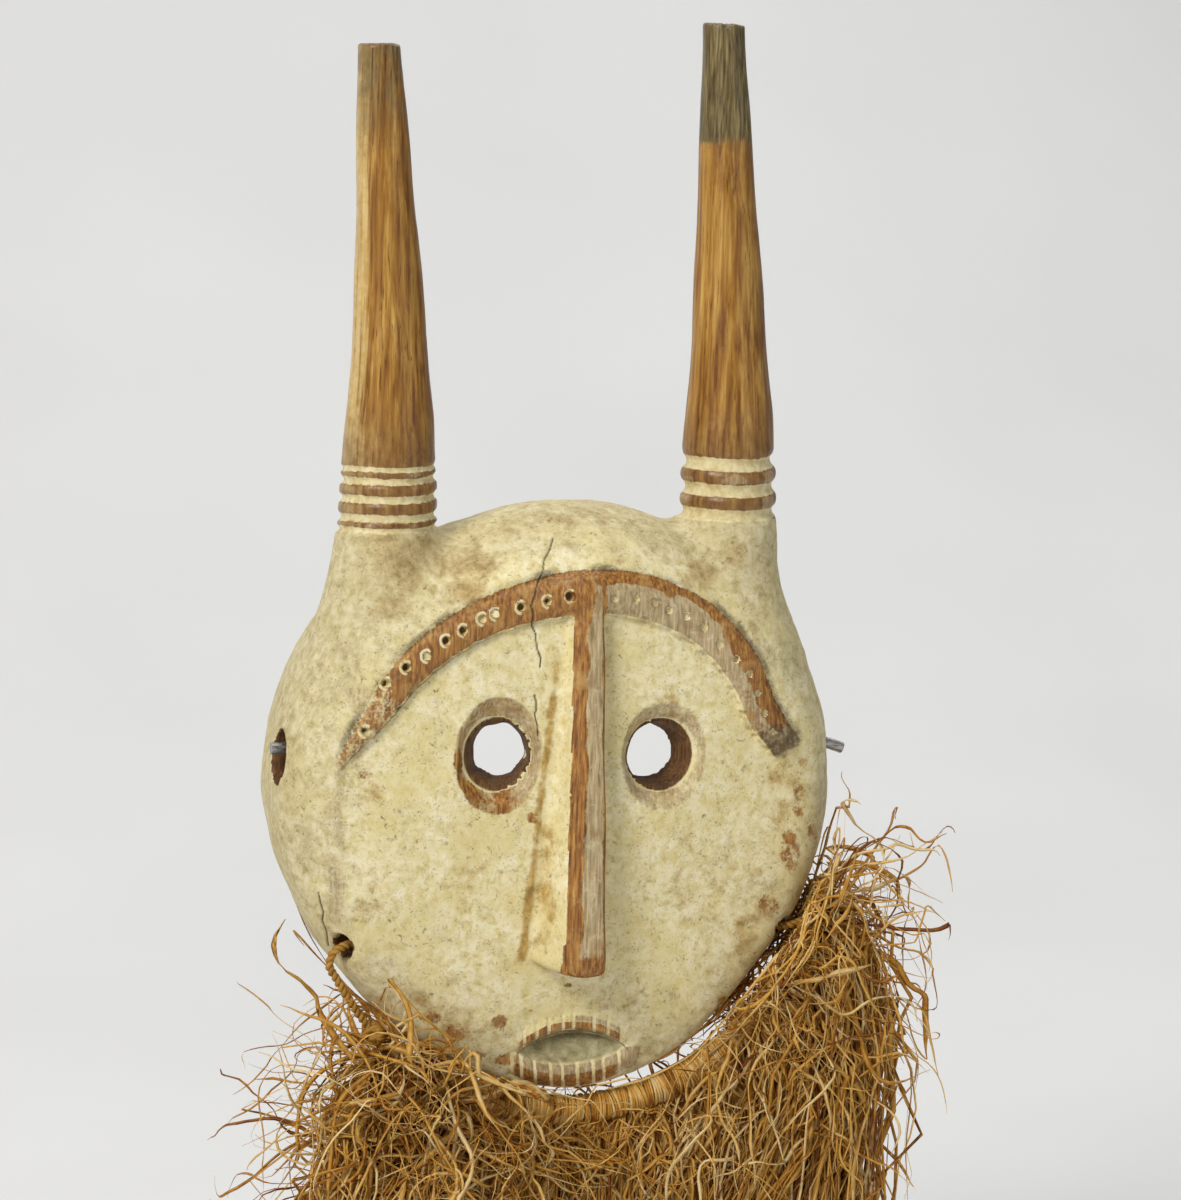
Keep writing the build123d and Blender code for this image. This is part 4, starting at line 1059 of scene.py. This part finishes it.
# cords: from inside the cheek, through the slanted hole, down to the collar
left_path = catmull([np.array([-1, 1, 1]) * CORD_INNER, (-70, -53.3, -61.5), (-80.0, -60.3, -62.0), (-88.5, -66.1, -62.7), (-92.0, -67.2, -64.2),
                     (-94.0, -67.0, -68.5), (-90.4, -66.4, -76.0), (-82.6, -64.6, -88.0), tuple(LEFT_TIE)], 110)
b = Builder()
b.twist(left_path, 0.95, 0.85, 5.2, 2, 7, 0.35)
left_cord = b.make("left_cord_twisted", None, CORD, "fibre_cord", ("left_cord",))
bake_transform(left_cord)
right_path = catmull([CORD_INNER, (70, -53.3, -61.5), (80.0, -60.3, -62.0), (88.5, -66.1, -62.5), (92.5, -66.6, -62.2),
                      (98.5, -64.6, -60.6), tuple(RIGHT_TIE)], 70)
b = Builder()
b.twist(right_path, 0.95, 0.85, 5.2, 2, 7, 0.35)
right_cord = b.make("right_cord_twisted", None, CORD, "fibre_cord", ("right_cord",))
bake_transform(right_cord)
for nm, c_, node, body in (("left_stopper_wound", np.array([-1, 1, 1]) * CORD_INNER, "left_stopper_knot", "head"),
                           ("right_stopper_wound", CORD_INNER, "right_stopper_knot", "head"),
                           ("left_tie_wound", LEFT_TIE, "left_tie_knot", "collar"),
                           ("right_tie_wound", RIGHT_TIE, "right_tie_knot", "collar")):
    b = Builder()
    knot(b, c_, 5.0, 1.15, rng, 9, 0.45)
    b.make(nm, body, CORD, "fibre_cord", (node,))

# collar: strips of raffia wound round the core
b = Builder()
m_ = 900
path = catmull([(a_, -60.0, b_) for a_, b_ in COLLAR], m_)
t_, a_v, b_v = frames(path)
dist = np.concatenate([[0], np.cumsum(np.linalg.norm(np.diff(path, axis=0), axis=1))])
sides = 30
ang = np.linspace(0, 2 * np.pi, sides, endpoint=False)
A, D = np.meshgrid(ang, dist)
ph = D / 3.1 - A / (2 * np.pi) + 0.35 * noise3(D, A * 6, D * 0, 7.0)
saw = ph - np.floor(ph)
ridge = np.sin(np.pi * np.clip(saw, 0, 1)) ** 0.45
lump = noise3(D, A * 3, A * 0, 9.0) - 0.5
strands = noise3(D * 2.0, A * 14, A * 0, 1.1) - 0.5
R_ = 3.55 + 0.85 * ridge + 0.9 * lump + 0.25 * strands
taper = np.clip(np.minimum(D, dist[-1] - D) / 2.5, 0.25, 1)
R_ = R_ * taper
V = path[:, None] + R_[:, :, None] * (np.cos(A)[:, :, None] * a_v[:, None] + np.sin(A)[:, :, None] * b_v[:, None])
b.v.append(V.reshape(-1, 3))
i, j = np.meshgrid(np.arange(m_ - 1), np.arange(sides), indexing="ij")
j2 = (j + 1) % sides
b.f.extend(np.stack([i * sides + j, i * sides + j2, (i + 1) * sides + j2, (i + 1) * sides + j], -1).reshape(-1, 4).tolist())
b.f.append(list(range(sides))[::-1])
b.f.append([(m_ - 1) * sides + k for k in range(sides)])
strip_id = np.floor(ph).astype(int) % 97
pick = np.random.RandomState(5).rand(97)
# fibre colour per strip, with each strip's raised crest painted lighter and the seams between strips painted darker:
# painted light and shade
b.rnd.append(np.clip(pick[strip_id] * 0.6 + 0.45 * ridge + 0.5 * strands - 0.25, 0, 1).ravel())
b.along.append(np.zeros(m_ * sides))
b.n = m_ * sides
collar_obj = b.make("collar_wound", "collar", WRAP, "raffia_binding", ("collar_wrapping", "collar_core"))

# bindings: several turns of twine
for nm, at, node in (("left_binding_twine", 0.243, "left_collar_binding"), ("right_binding_twine", 0.66, "right_collar_binding")):
    c_, tg, out = collar_at(at)
    f_ = np.cross(tg, out)
    b = Builder()
    turns = 5
    t = np.linspace(0, 1, turns * 24)
    th = 2 * np.pi * turns * t
    p = c_ + (4.75 + 0.25 * np.sin(th * 1.7))[:, None] * (np.cos(th)[:, None] * out + np.sin(th)[:, None] * f_) + ((t - 0.5) * 6.5)[:, None] * tg
    b.tube(p, 0.95, 6, 0.6)
    b.make(nm, "collar", WRAP, "raffia_binding", (node,))

# ------------------------------------------------------------------ raffia beard
LIM_LO = np.array([-129.5, -103.0, -318.0])
LIM_HI = np.array([147.0, 9.0, 400.0])
# name, place on collar, half spread along it, bottom x, bottom z, bottom spread x, bottom spread y, curl size, curl length, wildness, fans, tangled
HANKS = [
    ("raffia_hank_far_left", 0.085, 0.085, -88.0, -280.0, 12, 9, 6.5, 36, 1.0, 300, 330),
    ("raffia_hank_left", 0.19, 0.07, -66.0, -288.0, 14, 9, 5.5, 40, 0.8, 300, 240),
    ("raffia_hank_inner_left", 0.295, 0.06, -44.0, -292.0, 15, 9, 4.4, 44, 0.55, 320, 130),
    ("raffia_hank_centre_left", 0.40, 0.058, -20.0, -296.0, 15, 9, 3.6, 50, 0.4, 330, 70),
    ("raffia_hank_centre_right", 0.505, 0.058, 6.0, -296.0, 15, 9, 3.4, 52, 0.35, 330, 55),
    ("raffia_hank_inner_right", 0.61, 0.058, 32.0, -294.0, 15, 9, 3.4, 52, 0.35, 330, 50),
    ("raffia_hank_right", 0.71, 0.058, 56.0, -292.0, 15, 9, 3.2, 52, 0.35, 340, 60),
    ("raffia_hank_far_right", 0.81, 0.058, 80.0, -290.0, 17, 9, 3.4, 50, 0.45, 380, 90),
    ("raffia_tuft_right_end", 0.925, 0.075, 108.0, -284.0, 15, 9, 4.6, 42, 0.7, 460, 380),
]
DOWN = np.array([0.0, 0.0, -1.0])
FWD = np.array([0.0, -1.0, 0.0])


def tidy(Pth):
    """Keeps the fibres inside the size limits and clear of the carved head."""
    for k in range(3):
        lo, hi = LIM_LO[k], LIM_HI[k]
        Pth[:, :, k] = np.where(Pth[:, :, k] < lo + 6, lo + 6 - 6 * (1 - np.exp(-(lo + 6 - Pth[:, :, k]).clip(0) / 6)), Pth[:, :, k])
        Pth[:, :, k] = np.where(Pth[:, :, k] > hi - 6, hi - 6 + 6 * (1 - np.exp(-(Pth[:, :, k] - hi + 6).clip(0) / 6)), Pth[:, :, k])
    cz = Pth[:, :, 2] + 8.0
    rr_ = np.hypot(Pth[:, :, 0], cz)
    pa = np.arctan2(cz, Pth[:, :, 0])
    dep = -Pth[:, :, 1]
    need = np.interp(pa, PHI, RAD) + 1.2
    need = need - smooth(66, 80, dep) * np.where(pa < -2.0, 11.0, 5.0)
    k_ = (rr_ < need) & (cz < 60)
    sc_ = np.where(k_, need / np.maximum(rr_, 1), 1)
    Pth[:, :, 0] *= sc_
    Pth[:, :, 2] = cz * sc_ - 8.0
    # where they cross the rim they lie in front of it
    near = k_ & (dep > 64) & (dep < 84)
    Pth[:, :, 1] = np.where(near, np.minimum(Pth[:, :, 1], -76.0), Pth[:, :, 1])
    return Pth


def ribbons(Pth, r, shade, wide=0.62):
    """Thin flat fibres along the given paths."""
    count, m = Pth.shape[:2]
    tt = np.linspace(0, 1, m)
    tan = np.gradient(Pth, axis=1)
    tan /= np.maximum(np.linalg.norm(tan, axis=2), 1e-9)[:, :, None]
    ref = r.randn(count, 3)
    ref /= np.linalg.norm(ref, axis=1)[:, None]
    a = ref[:, None] - (tan * ref[:, None]).sum(2)[:, :, None] * tan
    a /= np.maximum(np.linalg.norm(a, axis=2), 1e-6)[:, :, None]
    bb_ = np.cross(tan, a)
    tw = r.uniform(-1, 1, count)[:, None] * tt[None] * 6 + r.uniform(0, 6.28, count)[:, None]
    A1 = np.cos(tw)[:, :, None] * a + np.sin(tw)[:, :, None] * bb_
    B1 = -np.sin(tw)[:, :, None] * a + np.cos(tw)[:, :, None] * bb_
    w = np.clip(np.exp(r.randn(count) * 0.45) * wide, 0.26, 1.5)
    end = (1 - 0.8 * smooth(0.85, 1.0, tt))[None]
    wid = w[:, None] * (0.9 + 0.1 * np.sin(tt * 20)[None]) * end
    thk = np.minimum(w * 0.42, 0.36)[:, None] * end
    ring = np.stack([Pth + wid[:, :, None] * A1, Pth + thk[:, :, None] * B1 * 1.4,
                     Pth - wid[:, :, None] * A1 + 0.3 * thk[:, :, None] * B1], 2)
    V = ring.reshape(-1, 3)
    base = (np.arange(count) * m * 3)[:, None, None]
    ii = np.arange(m - 1)[None, :, None]
    jj = np.arange(3)[None, None, :]
    j2 = (jj + 1) % 3
    q = np.stack(np.broadcast_arrays(base + ii * 3 + jj, base + ii * 3 + j2, base + (ii + 1) * 3 + j2, base + (ii + 1) * 3 + jj), -1).reshape(-1, 4)
    caps0 = np.stack([base[:, 0, 0] + 2, base[:, 0, 0] + 1, base[:, 0, 0]], 1)
    e0 = base[:, 0, 0] + (m - 1) * 3
    caps1 = np.stack([e0, e0 + 1, e0 + 2], 1)
    rnd = np.clip(0.52 + 0.25 * r.randn(count), 0, 1)
    # painted light and shade: fibres at the front of the beard get lighter colours, those further back darker ones
    painted_front_light = smooth(-50, -70, Pth[:, :, 1])
    rr2 = np.clip(rnd[:, None] * (0.45 + 0.6 * painted_front_light) * shade + 0.06 * np.sin(tt * 9)[None], 0, 1)
    return V, q, caps0, caps1, np.repeat(rr2.reshape(-1), 3), np.repeat(np.tile(tt, count), 3)


def put(b, made):
    V, q, c0, c1, rn, al = made
    b.v.append(V)
    b.f.extend((q + b.n).tolist())
    b.f.extend((c0 + b.n).tolist())
    b.f.extend((c1 + b.n).tolist())
    b.rnd.append(rn)
    b.along.append(al)
    b.n += len(V)


def fans(spec, r):
    name, at, half, bx, bz, sx, sy, curl, wave, wild, count, _ = spec
    m = 20
    at_ = np.clip(at + half * r.uniform(-1, 1, count), 0.004, 0.996)
    c, tg, out = collar_at(at_)
    middle = 0.16 < at < 0.80
    psi = r.uniform(0.9, 2.7, count) if middle else r.uniform(-0.5, 2.4, count)
    root = c + 4.7 * (np.cos(psi)[:, None] * FWD + np.sin(psi)[:, None] * out)
    length = np.where(r.rand(count) < 0.25, r.uniform(0.25, 0.7, count), r.uniform(0.82, 1.06, count))
    offs = (at_ - at) / half
    end = np.stack([bx + offs * 10 + sx * r.randn(count) * 0.75, -66.0 + sy * r.randn(count) * 0.8,
                    bz + r.uniform(-6, 12, count)], 1)
    tuft = name.endswith("right_end")
    if tuft:
        cross = r.rand(count) < 0.5
        end[cross, 0] -= r.uniform(10, 75, cross.sum())
        end[cross, 1] -= r.uniform(4, 14, cross.sum())
    t0 = out * r.uniform(10, 42, count)[:, None] + FWD * r.uniform(0, 9 if middle else 30, count)[:, None] + tg * (r.randn(count) * 16)[:, None]
    if tuft:
        t0 = t0 + np.array([5.0, -5.0, 14.0]) * r.uniform(0.0, 2.6, count)[:, None]
    if wild > 0.5 and not middle:
        t0 = t0 + np.array([-12.0 if at < 0.4 else 4.0, -16.0, 26.0]) * (r.rand(count) ** 1.2)[:, None] * wild
    tt = np.linspace(0, 1, m)
    T = tt[None] * length[:, None]
    full = np.linalg.norm(end - root, axis=1)
    h00 = (2 * T ** 3 - 3 * T ** 2 + 1)[:, :, None]
    h10 = (T ** 3 - 2 * T ** 2 + T)[:, :, None]
    h01 = (3 * T ** 2 - 2 * T ** 3)[:, :, None]
    h11 = (T ** 3 - T ** 2)[:, :, None]
    t1 = DOWN * full[:, None] * 0.7 + r.randn(count, 3) * 18
    Pth = h00 * root[:, None] + h10 * (t0 * 3.2)[:, None] + h01 * end[:, None] + h11 * t1[:, None]
    dist_ = T * full[:, None]
    amp = curl * np.exp(r.randn(count) * 0.5)
    env = smooth(0.0, 22.0, dist_) * (1 - 0.3 * smooth(60, 190, dist_))
    for axis, k in ((0, 1.0), (1, 0.75), (2, 0.5)):
        ph_ = r.uniform(0, 2 * np.pi, count)
        w1 = wave * np.exp(r.randn(count) * 0.35)
        w2 = wave * 2.3 * np.exp(r.randn(count) * 0.3)
        Pth[:, :, axis] += k * env * (amp * 0.5)[:, None] * np.sin(2 * np.pi * dist_ / w1[:, None] + ph_[:, None])
        Pth[:, :, axis] += k * env * (amp * 0.9)[:, None] * np.sin(2 * np.pi * dist_ / w2[:, None] + ph_[:, None] * 1.7)
    return tidy(Pth)


def tangled(spec, r):
    """Short curly fibres that wander from the collar before they fall."""
    name, at, half, bx, bz, sx, sy, curl, wave, wild, _, count = spec
    m = 26
    left, tuft = at < 0.45, name.endswith("right_end")
    at_ = np.clip(at + half * 1.05 * r.uniform(-1, 1, count), 0.002, 0.998)
    c, tg, out = collar_at(at_)
    psi = r.uniform(-2.2, 1.8, count) if not 0.16 < at < 0.80 else r.uniform(0.6, 2.6, count)
    p = c + (4.6 + 2.0 * r.rand(count))[:, None] * (np.cos(psi)[:, None] * FWD + np.sin(psi)[:, None] * out)
    low = r.rand(count) < 0.45
    p = p + low[:, None] * np.stack([(bx - c[:, 0]) * 0.25 * r.rand(count), -6 * r.rand(count), -55 * r.rand(count)], 1)
    d = r.randn(count, 3) * (0.4 if 0.16 < at < 0.80 else 0.6) + FWD * 0.35 + out * (1.3 if 0.16 < at < 0.80 else 0.15)
    if left:
        d += np.array([-0.55, -0.2, 0.15]) * wild
    if tuft:
        near = r.rand(count) < 0.5
        p[near] = RIGHT_TIE + r.randn(near.sum(), 3) * np.array([3.2, 2.4, 3.2])
        d += np.array([0.55, -0.45, 0.35])
    d /= np.linalg.norm(d, axis=1)[:, None]
    step = r.uniform(1.7, 3.9, count) * (0.75 + 0.45 * wild)
    bend = r.randn(count, 3) * 0.25
    path = [p]
    for k in range(m - 1):
        bend = bend * 0.86 + r.randn(count, 3) * 0.17 * (0.6 + wild)
        d = d + bend + DOWN * (0.10 + 0.012 * k)
        if left and wild > 0.9:
            d[:, 0] -= 0.04
        d /= np.linalg.norm(d, axis=1)[:, None]
        p = p + d * step[:, None]
        path.append(p)
    return tidy(np.stack(path, 1))


for k, spec in enumerate(HANKS):
    name, at = spec[0], spec[1]
    r = np.random.RandomState(100 + k)
    b = Builder()
    put(b, ribbons(fans(spec, r), r, 1.0, 0.62))
    put(b, ribbons(tangled(spec, r), r, 1.12, 0.52))
    # bundles doubled over the collar: lark's-head loops of several fibres
    r = np.random.RandomState(300 + k)
    nl = 13
    for q_ in range(nl):
        a0 = at + spec[2] * 0.96 * (2 * (q_ + 0.5) / nl - 1)
        c_, tg, out = collar_at(float(np.clip(a0, 0.006, 0.994)))
        f_ = np.array([0.0, -1.0, 0.0])
        for ply in range(3):
            sh = (ply - 1) * 0.95 + r.uniform(-0.3, 0.3)
            a1 = np.radians(r.uniform(195, 215))
            a2 = np.radians(r.uniform(-120, -100))
            th = np.linspace(a1, a2, 26)
            rr3 = 5.25 + 0.25 * r.randn()
            p = c_ + rr3 * (np.cos(th)[:, None] * f_ + np.sin(th)[:, None] * -out) + tg * (sh + 0.8 * np.sin(th * 0.9 + q_))[:, None]
            tail = p[0] + np.cumsum(np.tile(out * 1.2 + f_ * 0.25 + tg * r.uniform(-0.25, 0.25), (9, 1)), 0)
            b.tube(np.concatenate([tail[::-1], p]), 0.62 + 0.2 * r.rand(), 5, float(np.clip(0.6 + 0.2 * r.randn(), 0.1, 1)), flat=0.65)
    b.make(name.replace("raffia_", "raffia_fibres_"), name, RAFFIA, "raffia", (name,))


# ------------------------------------------------------------------ steel
def steel():
    m = Nodes("worn_steel")
    sc = m.noise(700, 4, 0.6, vec=m.scaled(0.4, 4, 4))
    rust = m.noise(160, 5, 0.65)
    c = m.ramp(sc, [(0.3, "#6f6d69"), (0.5, "#a3a19c"), (0.7, "#d5d3cf")])
    c = m.mix(m.range(rust, 0.52, 0.66, 0, 0.6), c, lin("#5b4a3a"))
    m.bsdf.inputs["Metallic"].default_value = 0.9
    return m.finish(c, m.range(sc, 0.3, 0.7, 0.22, 0.45), m.bump(sc, 0.5, 0.0003), 0.5)


STEEL = steel()
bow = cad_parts["hanger_bow"]
if bow.material_slots:
    for sl in bow.material_slots:
        sl.material = STEEL
else:
    bow.data.materials.append(STEEL)


# ------------------------------------------------------------------ studio
def sweep():
    prof = [(-3.2, -0.327)]
    prof += [(0.9, -0.327)]
    for i in range(1, 25):
        a = math.radians(90 * i / 24)
        prof.append((0.9 + 1.3 * math.sin(a), -0.327 + 1.3 * (1 - math.cos(a))))
    prof += [(2.2, 4.5)]
    vs, fs = [], []
    for x_ in (-4.5, 4.5):
        vs += [(x_, p[0], p[1]) for p in prof]
    n = len(prof)
    for i in range(n - 1):
        fs.append((i, i + n, i + n + 1, i + 1))
    me = bpy.data.meshes.new("studio_sweep")
    me.from_pydata(vs, [], fs)
    for p in me.polygons:
        p.use_smooth = True
    o = bpy.data.objects.new("studio_sweep", me)
    bpy.context.scene.collection.objects.link(o)
    m = Nodes("pale_paper")
    paper = m.finish(m.ramp(m.noise(3, 2, 0.5), [(0.3, "#e3e3e2"), (0.7, "#e8e8e7")]), 0.9, None, 0.1)
    me.materials.append(paper)
    # seen from its front only, so that a camera behind the wall sees the object
    nt = paper.node_tree
    outp = next(n_ for n_ in nt.nodes if n_.type == "OUTPUT_MATERIAL")
    front = outp.inputs["Surface"].links[0].from_socket
    geo = nt.nodes.new("ShaderNodeNewGeometry")
    clear = nt.nodes.new("ShaderNodeBsdfTransparent")
    both = nt.nodes.new("ShaderNodeMixShader")
    nt.links.new(geo.outputs["Backfacing"], both.inputs[0])
    nt.links.new(front, both.inputs[1])
    nt.links.new(clear.outputs[0], both.inputs[2])
    nt.links.new(both.outputs[0], outp.inputs["Surface"])


sweep()


def area(name, loc, target, size, power, col=(1, 1, 1)):
    d_ = bpy.data.lights.new(name, "AREA")
    d_.shape = "RECTANGLE"
    d_.size, d_.size_y = size
    d_.energy = power
    d_.color = col
    o = bpy.data.objects.new(name, d_)
    bpy.context.scene.collection.objects.link(o)
    o.location = loc
    from mathutils import Vector as V_
    o.rotation_euler = (V_(target) - V_(loc)).to_track_quat("-Z", "Y").to_euler()
    return o


area("key", (-1.7, -1.5, 1.7), (0, 0, 0.05), (0.9, 0.9), 57, (1.0, 0.975, 0.93))
area("fill", (1.7, -2.2, 0.5), (0, 0, 0.0), (1.4, 1.4), 5.5, (0.97, 0.985, 1.0))
area("rim", (1.4, 1.3, 1.5), (0, 0, 0.05), (0.8, 0.8), 7)
area("top", (0.0, -0.2, 2.4), (0, 0.0, 0), (1.0, 1.0), 9)
area("back", (0.3, 0.5, 3.2), (0.4, 2.0, 0.3), (3.0, 1.2), 26)
world = bpy.data.worlds.new("studio")
bpy.context.scene.world = world
world.use_nodes = True
bg = world.node_tree.nodes["Background"]
bg.inputs[0].default_value = (0.93, 0.945, 0.96, 1)
bg.inputs[1].default_value = 0.25
bpy.context.scene.view_settings.view_transform = "Standard"
bpy.context.scene.view_settings.look = "None"

cam_data = bpy.data.cameras.new("camera")
cam_data.lens = 120.0
cam_data.sensor_width = 36.0
cam_data.clip_end = 50.0
cam = bpy.data.objects.new("camera", cam_data)
bpy.context.scene.collection.objects.link(cam)
from mathutils import Matrix
back = -CAM_F
cam.matrix_world = Matrix(((CAM_R[0], CAM_U[0], back[0], CAM[0] * 0.001),
                           (CAM_R[1], CAM_U[1], back[1], CAM[1] * 0.001),
                           (CAM_R[2], CAM_U[2], back[2], CAM[2] * 0.001),
                           (0, 0, 0, 1)))
bpy.context.scene.camera = cam

bpy.context.view_layer.update()
